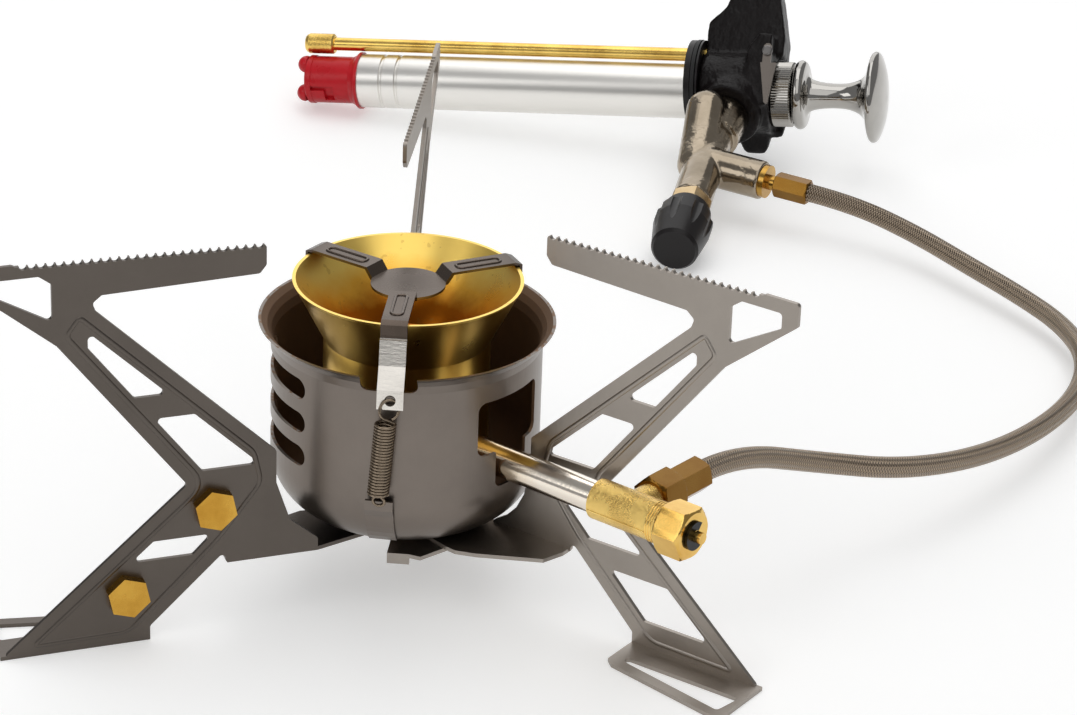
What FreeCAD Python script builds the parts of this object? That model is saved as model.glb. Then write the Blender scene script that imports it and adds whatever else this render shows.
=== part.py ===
"""Folding pressure stove with a braided fuel hose and a bottle pump.

Frame: +Z up, the burner's axis is the Z axis, the ground is z = 0.  Millimetres.
Every sub-part is one object of the document; its sizes come from the sheet called Sizes.
"""
import FreeCAD, Part
import math
import os
import Sketcher
from FreeCAD import Placement, Rotation, Vector

SIZES = {
    # burner cup of thin steel
    "cup_radius": 39.0, "cup_wall": 0.9, "cup_bottom": 24.0, "cup_top": 82.3, "cup_round": 18.0,
    "lip_radius": 42.6, "lip_start": 76.5,
    "slot_tall": 6.3, "slot_first": 50.0, "slot_pitch": 10.45, "slot_turn": 195.3, "slot_wide": 35.7,
    "slot_corner": 3.0, "window_low": 54.3, "window_high": 70.9, "window_turn": -40.2, "window_wide": 25.7,
    "window_corner": 2.6, "tube_notch_low": 43.2, "tube_notch_turn": -39.8, "tube_notch_wide": 13.4,
    "strap_notch_low": 77.0, "strap_notch_turn": -98.0, "strap_notch_wide": 16.2, "notch_corner": 2.0,
    # brass bell in the cup
    "bell_radius": 33.0, "bell_top": 94.6, "bell_body": 24.0, "bell_neck": 77.0, "bell_low": 38.0,
    "bell_wall": 1.0, "bowl_low": 73.5, "bowl_radius": 15.0, "gas_hole": 7.0,
    # steel flame plate, its strap, spring and lug
    "plate_radius": 10.7, "plate_top": 93.2, "plate_sheet": 0.8, "arm_top": 95.9, "arm_wide": 7.5,
    "arm_bend": 31.5, "hook_low": 91.5, "tail_low": 84.5, "strap_top": 91.0, "strap_low": 72.5,
    "strap_radius": 40.2, "clip_angle": -97.2, "strap_hole": 1.6,
    "spring_radius": 3.2, "spring_wire": 0.8, "spring_high": 69.0, "spring_low": 46.8, "spring_at": 42.5,
    "spring_lean": -1.2, "lug_lean": -3.6, "lug_low": 28.0, "lug_high": 44.0, "lug_wide": 8.0,
    "lug_sheet": 1.0, "pad_radius": 17.0, "pad_tall": 3.5, "pad_gap": 0.3,
    # mixing tube, vaporiser and jet block on one line out of the cup
    "feed_angle": -41.0, "feed_height": 48.75, "tube_radius": 4.7, "tube_wall": 0.6,
    "block_from": 71.0, "block_to": 94.5, "block_radius": 5.9, "nut_across": 14.0, "nut_long": 9.4,
    "nut_turn": -16.0, "pin_radius": 1.7, "pin_out": 3.2, "clip_radius": 4.2, "clip_thick": 0.8,
    "jet_radius": 3.0, "jet_long": 8.0, "jet_gap": 2.0, "jet_hole": 0.5, "tube_seat": 3.0,
    "vapour_radius": 1.5, "vapour_side": 2.4, "vapour_wall": 0.4, "vapour_from": 8.0,
    "side_at": 82.5, "side_rise": 0.6, "side_turn": 50.0, "side_fall": -1.7, "side_radius": 4.6,
    "side_long": 9.0, "side_nut_turn": -26.0, "elbow_across": 11.4, "elbow_long": 9.9,
    "stove_ferrule_across": 9.3, "stove_ferrule_long": 13.4,
    # folding legs of pressed sheet
    "leg_sheet": 1.2, "leg_corner": 1.1, "pot_height": 120.0, "arm_inner": 43.7, "arm_outer": 125.2,
    "arm_deep": 10.4, "crook_deep": 11.5, "edge_drop": 1.9, "edge_step": 0.45, "flat_reach": 113.8,
    "lug_drop": 6.8, "crook": 92.4, "elbow_reach": 103.0, "elbow_height": 94.9,
    "knee_reach": 66.6, "knee_height": 47.5, "foot_outer": 121.0, "foot_inner": 77.8,
    "fold_outer": 55.1, "fold_inner": 28.3, "hub_corner": 40.7, "hub_corner_height": 54.6,
    "hub_shoulder": 44.6, "leg_border": 5.8, "strut_border": 4.7, "web_rise": 4.4,
    "tooth_pitch": 2.54, "tooth_radius": 1.08, "tooth_sink": 0.25, "tooth_count": 27, "tooth_start": 45.6,
    "window_reach": 94.3, "foot_wide_inner": 12.1, "foot_wide_outer": 21.5, "foot_corner": 2.5,
    "foot_slot_near": 8.4, "foot_slot_inner": 11.0, "foot_slot_outer": 17.6, "hub_wide": 20.0,
    "pivot_radius": 8.5, "pivot_hole": 3.2, "plate_gap": 0.2, "swing_radius": 46.4, "swing_low": 40.5,
    "tail_long": 28.3, "tail_near": -15.1, "tail_far": 1.2, "stop_tall": 2.1, "stop_wide": 6.4,
    "right_angle": -37.23, "right_offset": 5.1, "left_angle": 197.88, "left_offset": 16.8,
    "left_shift": 3.5, "back_angle": 82.2, "back_offset": 6.4,
    "rivet_radius": 3.0, "rivet_head": 6.0, "rivet_head_tall": 1.6, "washer_tall": 0.8,
    "cup_clear": 1.2, "spare_across": 11.0, "spare_head": 3.0, "spare_stem": 3.0, "spare_long": 5.0,
    "spare_high_reach": 62.5, "spare_high": 39.5, "spare_low_reach": 87.9, "spare_low": 15.7,
    # pump: its axis starts at the foot of the tube and climbs to the grip
    "foot_x": -13.4, "foot_y": 370.5, "foot_z": 13.2, "pump_turn": -16.45, "pump_climb": 5.2,
    "pump_radius": 10.2, "pump_wall": 0.8, "tube_foot": 1.2, "groove_first": 9.7, "groove_second": 15.9,
    "groove_deep": 0.5, "groove_wide": 1.4, "cap_radius": 8.9, "cap_flange": 10.8, "cap_end": -19.8,
    "cap_disc": 2.2, "cap_plug": 7.0, "cap_lobe": 3.3, "cap_lobe_at": 6.2, "cap_lobe_angle": 98.0,
    "cap_slot_radius": 7.6, "cap_slot_from": 178.5, "cap_slot_high": -8.5, "cap_slot_turn": -12.3,
    "collar_radius": 15.7, "collar_long": 5.0, "collar_rise": 3.6, "neck_wall": 2.4,
    "seal_radius": 15.9, "seal_wire": 1.4,
    "grip_radius": 15.0, "grip_from": 134.4, "grip_to": 160.8, "wing_tall": 45.0, "wing_thick": 14.0,
    "wing_angle": 52.0, "lobe_tall": 24.6, "lobe_angle": -78.0, "lobe_thick": 11.0, "wing_gap": 0.1,
    "stop_seat": 15.0, "stop_sheet": 1.0, "stop_screw": 1.1, "stop_screw_head": 1.9,
    "knurl_radius": 12.0, "knurl_long": 7.5, "rod_radius": 2.5, "knob_gap": 0.4, "knob_long": 34.4,
    "stem_radius": 4.6, "flange_radius": 12.9, "flange_long": 4.4, "knob_radius": 16.9,
    "piston_radius": 8.6, "piston_long": 6.0, "piston_at": 18.0, "leather_radius": 9.3, "leather_long": 5.0,
    "valve_disc_radius": 3.4, "valve_disc_long": 2.0, "valve_seat_at": -6.0,
    "pickup_radius": 2.5, "pickup_wall": 0.6, "pickup_side": 13.6, "pickup_seat": 2.0, "pickup_tilt": 70.0,
    "filter_radius": 3.85, "filter_long": 11.3, "filter_from": -21.7,
    # valve at the side of the grip: how far its points lie level, up and along from the grip's middle
    "arm_back": 13.8, "arm_radius": 12.5, "arm_long": 17.5, "neck_radius": 8.6, "neck_end": 34.0,
    "neck_level": -38.4, "neck_up": -6.3, "neck_along": -2.5, "spigot_radius": 6.5,
    "hump_radius": 7.3, "hump_level": -26.8, "hump_up": 3.0, "hump_along": -6.4,
    "hump_low_level": -53.7, "hump_low_up": -8.3, "hump_low_along": -4.6,
    "stem_level": -10.7, "stem_up": -2.2, "stem_along": -3.2,
    "tip_level": -113.1, "tip_up": -17.2, "tip_along": -0.6,
    "valve_radius": 7.2, "valve_from": 18.0, "valve_long": 70.0,
    "gland_across": 13.5, "gland_long": 7.2, "spindle_radius": 2.0, "spindle_long": 60.0,
    "dial_radius": 10.2, "dial_neck": 8.6, "dial_end": 8.4, "dial_long": 25.5, "dial_bore": 7.9,
    "dial_deep": 5.0, "ring_radius": 3.4, "ring_wire": 1.3,
    "port_at": 43.0, "port_level": -58.6, "port_up": -11.6, "port_along": 21.0,
    "port_radius": 7.0, "port_long": 23.5, "port_ring": 2.0, "port_ring_radius": 6.0,
    "nipple_radius": 2.7, "nipple_long": 3.0, "pump_ferrule_across": 8.0, "pump_ferrule_long": 13.0,
    "hose_radius": 3.25, "fit_gap": 0.05, "slack": 0.3,
}

doc = FreeCAD.newDocument("PressureStove")
sheet = doc.addObject("Spreadsheet::Sheet", "Sizes")
for row, (alias, number) in enumerate(SIZES.items(), start=1):
    sheet.set("A%d" % row, alias)
    sheet.set("B%d" % row, str(number))
    sheet.setAlias("B%d" % row, alias)
doc.recompute()


class Size(float):
    """A number that keeps the sheet expression it was worked out with."""

    def __new__(cls, number, text):
        size = float.__new__(cls, number)
        size.text = text
        return size

    def joined(self, sign, other, number, swap=False):
        """This size and another, joined by an arithmetic sign."""
        texts = [self.text, getattr(other, "text", repr(float(other)))]
        if swap:
            texts.reverse()
        return Size(number, "(%s %s %s)" % (texts[0], sign, texts[1]))

    def __add__(self, other):
        return self.joined("+", other, float(self) + float(other))

    def __radd__(self, other):
        return self.joined("+", other, float(self) + float(other), swap=True)

    def __sub__(self, other):
        return self.joined("-", other, float(self) - float(other))

    def __rsub__(self, other):
        return self.joined("-", other, float(other) - float(self), swap=True)

    def __mul__(self, other):
        return self.joined("*", other, float(self) * float(other))

    def __rmul__(self, other):
        return self.joined("*", other, float(self) * float(other), swap=True)

    def __truediv__(self, other):
        return self.joined("/", other, float(self) / float(other))

    def __neg__(self):
        return self.joined("*", -1.0, -float(self))


class Sheet:
    """The sheet's cells as attributes."""

    def __getattr__(self, alias):
        return Size(sheet.get(alias), "Sizes." + alias)


S = Sheet()
UP = Vector(0, 0, 1)
PARTS = []


# ---------------------------------------------------------------- building helpers
def bind(thing, path, size):
    """Sets a property to a size and ties it to the sheet."""
    if isinstance(size, Size):
        thing.setExpression(path, size.text)
    else:
        setattr(thing, path, size)


def origin_plane(body, role):
    """One of a body's own origin planes."""
    for feature in body.Origin.OriginFeatures:
        if feature.Role == role:
            return feature
    raise ValueError(role)


def new_body(name):
    """An empty body whose label is the node's name."""
    body = doc.addObject("PartDesign::Body", name)
    body.Label = name
    return body


def pin_point(sketch, geometry, place, across, along):
    """Holds one point of a sketch at its distances from the sketch's origin."""
    for kind, axis, distance in (("DistanceX", -2, across), ("DistanceY", -1, along)):
        if float(distance) == 0.0:
            sketch.addConstraint(Sketcher.Constraint("PointOnObject", geometry, place, axis))
            continue
        held = sketch.addConstraint(Sketcher.Constraint(kind, -1, 1, geometry, place, float(distance)))
        if isinstance(distance, Size):
            sketch.setExpression("Constraints[%d]" % held, distance.text)


def outline(body, loops, plane="XZ_Plane", offset=0.0):
    """A sketch of closed loops; a loop is a list of corners, or (centre x, centre y, radius)."""
    sketch = body.newObject("Sketcher::SketchObject", body.Name + "_outline")
    sketch.AttachmentSupport = [(origin_plane(body, plane), "")]
    sketch.MapMode = "FlatFace"
    if isinstance(offset, Size):
        bind(sketch, "AttachmentOffset.Base.z", offset)
    for loop in loops:
        first = sketch.GeometryCount
        if len(loop) == 3 and not isinstance(loop[0], tuple):
            sketch.addGeometry(Part.Circle(Vector(loop[0], loop[1], 0), UP, float(loop[2])), False)
            pin_point(sketch, first, 3, loop[0], loop[1])
            held = sketch.addConstraint(Sketcher.Constraint("Radius", first, float(loop[2])))
            sketch.setExpression("Constraints[%d]" % held, loop[2].text)
            continue
        count = len(loop)
        for index in range(count):
            start = Vector(loop[index][0], loop[index][1], 0)
            end = Vector(loop[(index + 1) % count][0], loop[(index + 1) % count][1], 0)
            sketch.addGeometry(Part.LineSegment(start, end), False)
        for index in range(count):
            following = first + (index + 1) % count
            sketch.addConstraint(Sketcher.Constraint("Coincident", first + index, 2, following, 1))
        for index in range(count):
            pin_point(sketch, first + index, 1, loop[index][0], loop[index][1])
    return sketch


def revolve(body, profile):
    """Turns a closed profile of (radius, height) corners about the body's Z axis."""
    sketch = outline(body, [profile])
    turn = body.newObject("PartDesign::Revolution", body.Name + "_turn")
    turn.Profile = sketch
    turn.ReferenceAxis = (sketch, ["V_Axis"])
    turn.Angle = 360
    return turn


def pad(body, loops, thick, plane="XY_Plane", offset=0.0, middle=False):
    """Pads closed loops by a thickness."""
    sketch = outline(body, loops, plane, offset)
    block = body.newObject("PartDesign::Pad", body.Name + "_pad")
    block.Profile = sketch
    bind(block, "Length", thick)
    block.Midplane = middle
    return block


def pocket(body, loops, deep, plane="XY_Plane", offset=0.0):
    """Cuts closed loops, half of the depth to each side of the sketch."""
    sketch = outline(body, loops, plane, offset)
    cut = body.newObject("PartDesign::Pocket", body.Name + "_pocket")
    cut.Profile = sketch
    bind(cut, "Length", deep)
    cut.Midplane = True
    return cut


def round_edges(body, radius, wanted):
    """Rounds the edges of the body's tip that the test picks."""
    doc.recompute()
    tip = body.Tip
    names = ["Edge%d" % (index + 1) for index, edge in enumerate(tip.Shape.Edges) if wanted(edge)]
    fillet = body.newObject("PartDesign::Fillet", body.Name + "_round")
    fillet.Base = (tip, names)
    bind(fillet, "Radius", radius)
    return fillet


def keep(thing, name, place=None):
    """Labels a finished sub-part, puts it in its place and lists it."""
    thing.Label = name
    if place is not None:
        thing.Placement = place
    PARTS.append(thing)
    return thing


def turned(name, profile, place=None):
    """A sub-part turned about its own Z axis."""
    body = new_body(name)
    revolve(body, profile)
    return keep(body, name, place)


def ring_profile(outer, inner, low, high):
    """The profile of a plain tube or washer."""
    return [(inner, low), (outer, low), (outer, high), (inner, high)]


def disc_profile(radius, low, high):
    """The profile of a plain cylinder."""
    return [(0.0, low), (radius, low), (radius, high), (0.0, high)]


def hexagon(across):
    """The corners of a hexagon with this size across its flats."""
    corner = across / math.sqrt(3)
    return [(corner * math.cos(math.radians(60 * k)), corner * math.sin(math.radians(60 * k)))
            for k in range(6)]


def hex_piece(name, across, bore, long, place):
    """A hexagon bar with a round bore."""
    body = new_body(name)
    pad(body, [hexagon(across), (0.0, 0.0, bore)], long)
    return keep(body, name, place)


def punch(name, turn, wide, low, high, corner):
    """A block with rounded corners that opens a window straight through one side of the cup."""
    block = new_body(name)
    half = wide / 2.0
    pad(block, [[(-half, low), (half, low), (half, high), (-half, high)]], S.lip_radius + 5.0,
        plane="YZ_Plane")
    round_edges(block, corner, lambda edge: edge.BoundBox.XLength > 1.0)
    block.Placement = Placement(Vector(0, 0, 0), Rotation(UP, float(turn)))
    return block


def drum(name, radius, low, high, place):
    """A cylinder between two stations of an axis, as a step towards a joined piece."""
    piece = doc.addObject("Part::Cylinder", name)
    bind(piece, "Radius", radius)
    bind(piece, "Height", high - low)
    piece.Placement = place.multiply(Placement(Vector(0, 0, low), Rotation()))
    return piece


def joined(name, pieces):
    """Several solids fused into one."""
    fusion = doc.addObject("Part::MultiFuse", name)
    fusion.Shapes = pieces
    fusion.Refine = True
    return fusion


def cut_away(name, base, tools):
    """A solid less its tools."""
    tool = tools[0] if len(tools) == 1 else joined(name + "_tools", tools)
    less = doc.addObject("Part::Cut", name)
    less.Base = base
    less.Tool = tool
    return less


def ring_slot(name, outer, inner, low, high, turn, sweep, place):
    """A piece of a thick ring, swept part of the way round an axis, that cuts a groove."""
    start = place.multiply(Placement(Vector(0, 0, 0), Rotation(UP, float(turn))))
    ring = drum(name + "_ring", outer, low, high, start)
    ring.Angle = sweep
    core = drum(name + "_core", inner, low - 1.0, high + 1.0, start)
    return cut_away(name, ring, [core])


def ball(name, radius, spot):
    """A sphere, as a step towards a joined piece."""
    piece = doc.addObject("Part::Sphere", name)
    bind(piece, "Radius", radius)
    piece.Placement = Placement(spot, Rotation())
    return piece


def axis_place(origin, direction):
    """The placement that puts a piece's Z axis on a line."""
    return Placement(origin, Rotation(UP, direction))


def along(place, distance):
    """A placement moved along its own Z axis."""
    return place.multiply(Placement(Vector(0, 0, float(distance)), Rotation()))


def rolled(place, angle):
    """A placement turned about its own Z axis."""
    return place.multiply(Placement(Vector(0, 0, 0), Rotation(UP, float(angle))))


def polar(angle, reach, height):
    """A point at an angle about the burner's axis."""
    turn = math.radians(float(angle))
    return Vector(reach * math.cos(turn), reach * math.sin(turn), float(height))


def heading(turn, climb):
    """The unit vector with this compass turn from +X and this climb from level, in degrees."""
    flat = math.cos(math.radians(float(climb)))
    return Vector(flat * math.cos(math.radians(float(turn))),
                  flat * math.sin(math.radians(float(turn))),
                  math.sin(math.radians(float(climb))))


# ---------------------------------------------------------------- burner
AT_CLIP = Placement(Vector(0, 0, 0), Rotation(UP, float(S.clip_angle)))


def rim_edge(radius, height):
    """A test for the full circle of this radius at this height."""
    def wanted(edge):
        box = edge.BoundBox
        return max(abs(box.ZMax - height), abs(box.ZMin - height), abs(box.XMax - radius)) < 0.01
    return wanted


def burner_housing():
    """Deep cup of thin sheet: flared lip, round bottom, three slots, a window and two notches."""
    shell = new_body("housing_shell")
    inner = S.cup_radius - S.cup_wall
    floor = S.cup_bottom + S.cup_wall
    outside = [(S.cup_radius, S.lip_start), (S.cup_radius + 0.7, S.lip_start + 2.6),
               (S.cup_radius + 1.9, S.lip_start + 4.4), (S.lip_radius, S.cup_top)]
    inside = [(radius - S.cup_wall, height) for radius, height in reversed(outside)]
    hole = S.rivet_radius + S.slack
    revolve(shell, [(hole, S.cup_bottom), (S.cup_radius, S.cup_bottom)] + outside + inside
            + [(inner, floor), (hole, floor)])
    round_edges(shell, S.cup_round, rim_edge(S.cup_radius, S.cup_bottom))
    round_edges(shell, S.cup_round - S.cup_wall, rim_edge(inner, floor))
    cuts = []
    for k in range(3):
        low = S.slot_first + k * S.slot_pitch - S.slot_tall / 2.0
        cuts.append(punch("slot_cut", S.slot_turn, S.slot_wide, low, low + S.slot_tall, S.slot_corner))
    cuts.append(punch("window_cut", S.window_turn, S.window_wide, S.window_low, S.window_high,
                      S.window_corner))
    cuts.append(punch("tube_cut", S.tube_notch_turn, S.tube_notch_wide, S.tube_notch_low,
                      S.window_low + S.window_corner * 2.5, S.notch_corner))
    cuts.append(punch("strap_cut", S.strap_notch_turn, S.strap_notch_wide, S.strap_notch_low,
                      S.cup_top + S.notch_corner * 2.0, S.notch_corner))
    keep(cut_away("burner_housing", shell, cuts), "burner_housing")


def burner_bell():
    """Brass bowl on a round body, with the gas hole in the bowl's floor and the mixing tube's hole."""
    shell = new_body("bell_shell")
    revolve(shell, [(S.gas_hole, S.bowl_low), (S.bowl_radius, S.bowl_low),
                    (S.bell_radius - S.bell_wall, S.bell_top), (S.bell_radius, S.bell_top),
                    (S.bell_body, S.bell_neck), (S.bell_body, S.bell_low),
                    (0.0, S.bell_low), (0.0, S.bell_low + S.bell_wall * 2.0),
                    (S.bell_body - S.bell_wall * 2.0, S.bell_low + S.bell_wall * 2.0),
                    (S.bell_body - S.bell_wall * 2.0, S.bell_neck - 6.0),
                    (S.gas_hole, S.bell_neck - 6.0)])
    feed = drum("bell_feed_cut", S.tube_radius + S.fit_gap, S.bell_body - 8.0, S.bell_body + 8.0, FEED)
    keep(cut_away("burner_bell", shell, [feed]), "burner_bell")


def arm_profile(low_end):
    """Side view of an arm: off the disc, up a step, along over the rim and down to its end."""
    low = S.plate_top - S.plate_sheet
    under = S.arm_top - S.plate_sheet
    step = S.plate_radius + 2.0
    root = S.plate_radius - 3.0
    hook = S.bell_radius + S.slack
    return [(root, low), (S.plate_radius, low), (step, under), (S.arm_bend, under), (hook, under - 0.2),
            (hook, low_end), (hook + S.plate_sheet, low_end), (hook + S.plate_sheet, under),
            (S.arm_bend + 0.6, S.arm_top), (step - 0.6, S.arm_top), (S.plate_radius - 0.6, S.plate_top),
            (root, S.plate_top)]


def flame_plate():
    """Disc with three stepped arms: two hook over the bell's rim, the third ends in a longer tail."""
    body = new_body("flame_plate")
    pad(body, [(0.0, 0.0, S.plate_radius)], S.plate_sheet, offset=S.plate_top - S.plate_sheet)
    pad(body, [arm_profile(S.hook_low)], S.arm_wide, plane="XZ_Plane", middle=True)
    arm = body.Tip
    pattern = body.newObject("PartDesign::PolarPattern", "flame_plate_arms")
    pattern.Originals = [arm]
    pattern.Axis = (arm.Profile[0], ["V_Axis"])
    pattern.Angle = 360
    pattern.Occurrences = 3
    body.Tip = pattern
    hook = S.bell_radius + S.slack
    pad(body, [[(hook, S.hook_low + 0.5), (hook + S.plate_sheet, S.hook_low + 0.5),
                (hook + S.plate_sheet + 1.2, S.tail_low), (hook + 1.2, S.tail_low)]],
        S.arm_wide, plane="XZ_Plane", middle=True)
    keep(body, "flame_plate", AT_CLIP)


def spring_strap():
    """Strap welded behind the plate's tail; it leans out through the cup's notch to the spring."""
    body = new_body("spring_strap")
    thick = S.plate_sheet
    start = S.bell_radius + S.slack + thick + 0.3
    bend = start + 1.6
    bend_low = S.tail_low - 1.0
    out = S.strap_radius
    pad(body, [[(start, S.strap_top), (bend, bend_low), (out - thick, S.strap_notch_low),
                (out, S.strap_low), (out + thick, S.strap_low), (out, S.strap_notch_low + 1.0),
                (bend + thick, bend_low + 0.4), (start + thick, S.strap_top)]],
        S.arm_wide, plane="XZ_Plane", middle=True)
    hole = pocket(body, [(0.0, S.strap_low + 2.6, S.strap_hole)], 200.0, plane="YZ_Plane")
    hole.Label = "spring_strap_hole"
    keep(body, "spring_strap", AT_CLIP)


def plate_spring():
    """Pull spring from the strap to its lug; its outer shape with a thin hook at each end."""
    top = polar(S.clip_angle + S.spring_lean, S.spring_at, S.spring_high)
    bottom = polar(S.clip_angle + S.lug_lean, S.spring_at, S.spring_low)
    lean = top - bottom
    high = lean.Length
    hook = S.spring_wire
    turned("plate_spring", [(0.0, -4.0), (hook, -4.0), (hook, 0.0), (S.spring_radius, 0.0),
                            (S.spring_radius, high), (hook, high), (hook, high + 4.0), (0.0, high + 4.0)],
           axis_place(bottom, lean))


def cup_outside(height):
    """The cup's outer radius at a height within its round bottom."""
    middle = S.cup_bottom + S.cup_round
    drop = float(middle - height)
    return S.cup_radius - S.cup_round + math.sqrt(float(S.cup_round) ** 2 - drop ** 2)


def spring_lug():
    """Tab on the cup's round bottom that stands off at its top to take the spring's hook."""
    body = new_body("spring_lug")
    thick = S.lug_sheet
    gap = S.plate_gap
    heights = [S.lug_low + 2.1 * step for step in range(6)]
    inner = [(cup_outside(height) + gap, height) for height in heights]
    stand_off = S.spring_at - S.spring_wire - thick - 0.2
    inner += [(stand_off, S.lug_high - 3.0), (stand_off, S.lug_high)]
    outer = [(reach + thick, height) for reach, height in reversed(inner)]
    pad(body, [inner + outer], S.lug_wide, plane="XZ_Plane", middle=True)
    keep(body, "spring_lug", Placement(Vector(0, 0, 0), Rotation(UP, float(S.clip_angle + S.lug_lean))))


def priming_pad():
    """Flat wick in the floor of the cup."""
    low = S.cup_bottom + S.cup_wall + S.pad_gap
    turned("priming_pad", ring_profile(S.pad_radius, S.rivet_head + S.slack, low, low + S.pad_tall))


# ---------------------------------------------------------------- tubes and jet block
FEED = axis_place(Vector(0, 0, float(S.feed_height)), heading(S.feed_angle, 0.0))
VAPOUR = FEED.multiply(Placement(Vector(0, float(S.vapour_side), 0), Rotation()))
SIDE = axis_place(polar(S.feed_angle, S.side_at, S.feed_height + S.side_rise),
                  heading(S.side_turn, S.side_fall))


def mixing_tube():
    """Steel tube from the jet block into the bell."""
    turned("mixing_tube", ring_profile(S.tube_radius, S.tube_radius - S.tube_wall,
                                       S.bell_body - 4.0, S.block_from + S.tube_seat), FEED)


def vaporiser_tube():
    """Thin fuel tube that runs inside the mixing tube, from the jet's shoulder into the bell."""
    turned("vaporiser_tube", ring_profile(S.vapour_radius, S.vapour_radius - S.vapour_wall,
                                          S.vapour_from, S.block_to - S.jet_long - S.jet_gap), VAPOUR)


def jet_block():
    """Brass casting: a barrel on the mixing tube with a boss at its side for the hose."""
    tube_end = S.block_from + S.tube_seat + S.fit_gap
    jet_end = S.block_to - S.jet_long - S.jet_gap
    barrel = drum("block_barrel", S.block_radius, S.block_from, S.block_to, FEED)
    boss = drum("block_boss", S.side_radius, 0.0, S.side_long, SIDE)
    rooms = [drum("block_socket", S.tube_radius + S.fit_gap, S.block_from - 1.0, tube_end, FEED),
             drum("block_air_room", S.tube_radius - S.tube_wall, tube_end - 1.0, jet_end, FEED),
             drum("block_jet_room", S.jet_radius + S.fit_gap, jet_end - 1.0, S.block_to + 1.0, FEED)]
    keep(cut_away("jet_block", joined("block_solid", [barrel, boss]), rooms), "jet_block")


def jet():
    """Brass jet screwed into the block from its outer end."""
    turned("jet", [(S.jet_hole, 0.0), (S.jet_radius, 0.0), (S.jet_radius, S.jet_long),
                   (S.jet_hole, S.jet_long)], along(FEED, S.block_to - S.jet_long))


def block_nut():
    """Hexagon nut that closes the block."""
    hex_piece("block_nut", S.nut_across, S.pin_radius + S.fit_gap, S.nut_long,
              rolled(along(FEED, S.block_to), S.nut_turn))


def block_pin():
    """Brass pin through the nut, with a groove for its clip."""
    high = S.nut_long + S.pin_out
    groove = S.nut_long + S.fit_gap
    turned("block_pin", [(0.0, 0.5), (S.pin_radius, 0.5), (S.pin_radius, groove),
                         (S.pin_radius - 0.5, groove), (S.pin_radius - 0.5, groove + S.clip_thick + 0.1),
                         (S.pin_radius, groove + S.clip_thick + 0.1), (S.pin_radius, high), (0.0, high)],
           along(FEED, S.block_to))


def e_clip():
    """Open spring ring in the pin's groove."""
    ring = doc.addObject("Part::Cylinder", "clip_ring")
    bind(ring, "Radius", S.clip_radius)
    bind(ring, "Height", S.clip_thick)
    ring.Angle = 290
    bore = doc.addObject("Part::Cylinder", "clip_bore")
    bind(bore, "Radius", S.pin_radius + S.fit_gap)
    bind(bore, "Height", S.clip_thick)
    start = S.nut_long + S.fit_gap * 2.0
    keep(cut_away("e_clip", ring, [bore]), "e_clip", rolled(along(FEED, S.block_to + start), 100.0))


def hose_end_at_stove():
    """Hexagon nut on the side boss, and the ferrule that grips the hose."""
    nut = rolled(along(SIDE, S.side_long), S.side_nut_turn)
    hex_piece("elbow_nut", S.elbow_across, S.jet_radius, S.elbow_long, nut)
    hex_piece("stove_ferrule", S.stove_ferrule_across, S.hose_radius - 1.0, S.stove_ferrule_long,
              along(nut, S.elbow_long))


# ---------------------------------------------------------------- legs
def crossing(first, second):
    """The point where two lines cross; a line is two (reach, height) points."""
    (ax, ay), (bx, by) = first
    (cx, cy), (dx, dy) = second
    below = (bx - ax) * (dy - cy) - (by - ay) * (dx - cx)
    part = ((cx - ax) * (dy - cy) - (cy - ay) * (dx - cx)) / below
    return (ax + part * (bx - ax), ay + part * (by - ay))


def moved_in(line, distance):
    """A line moved to its left by a distance."""
    (ax, ay), (bx, by) = line
    long = math.hypot(bx - ax, by - ay)
    dx = -(by - ay) / long * distance
    dy = (bx - ax) / long * distance
    return ((ax + dx, ay + dy), (bx + dx, by + dy))


def strut_window(upper, lower, low, high, border):
    """A window between two strut edges, closed by two level bars."""
    top = ((0.0, high), (1.0, high))
    base = ((0.0, low), (1.0, low))
    upper = moved_in(upper, -border)
    lower = moved_in(lower, border)
    return [crossing(upper, base), crossing(lower, base), crossing(lower, top), crossing(upper, top)]


def leg_windows(lower_strut, far_border):
    """The openings of a leg: two in the upper strut, one behind the arm's end, the rest in the foot."""
    corner = (float(S.hub_corner), float(S.hub_corner_height))
    knee = (float(S.knee_reach), float(S.knee_height))
    elbow = (float(S.elbow_reach), float(S.elbow_height))
    root = (float(S.crook), S.pot_height - 15.8)
    border = float(S.leg_border)
    inner_edge = (corner, root)
    outer_edge = (knee, elbow)
    upper = moved_in(inner_edge, -border)
    lower = moved_in(outer_edge, border)
    sill = ((0.0, knee[1] + 28.8), (1.0, knee[1] + 28.8))
    jamb = ((float(S.window_reach), 0.0), (float(S.window_reach), 1.0))
    windows = [strut_window(inner_edge, outer_edge, knee[1] + 3.7, knee[1] + 21.8, border),
               [crossing(upper, sill), crossing(lower, sill), crossing(lower, jamb), crossing(upper, jamb)]]
    far = S.arm_outer - 5.0
    high = S.pot_height - 4.0
    windows.append([(elbow[0] + 1.0, S.pot_height - 17.8), (far, high - 4.6), (far, high),
                    (elbow[0] + 4.5, high), (elbow[0] + 1.0, high - 2.6)])
    inner_foot = ((float(S.fold_outer), S.cup_bottom + 3.0), (float(S.foot_inner), float(S.web_rise)))
    outer_foot = (knee, (float(S.foot_outer), 0.0))
    for low, high in lower_strut:
        side = moved_in(inner_foot, border)
        far = moved_in(outer_foot, -float(far_border))
        base = ((0.0, low), (1.0, low))
        top = ((0.0, high), (1.0, high))
        windows.append([crossing(side, base), crossing(far, base), crossing(far, top), crossing(side, top)])
    return windows


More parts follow.
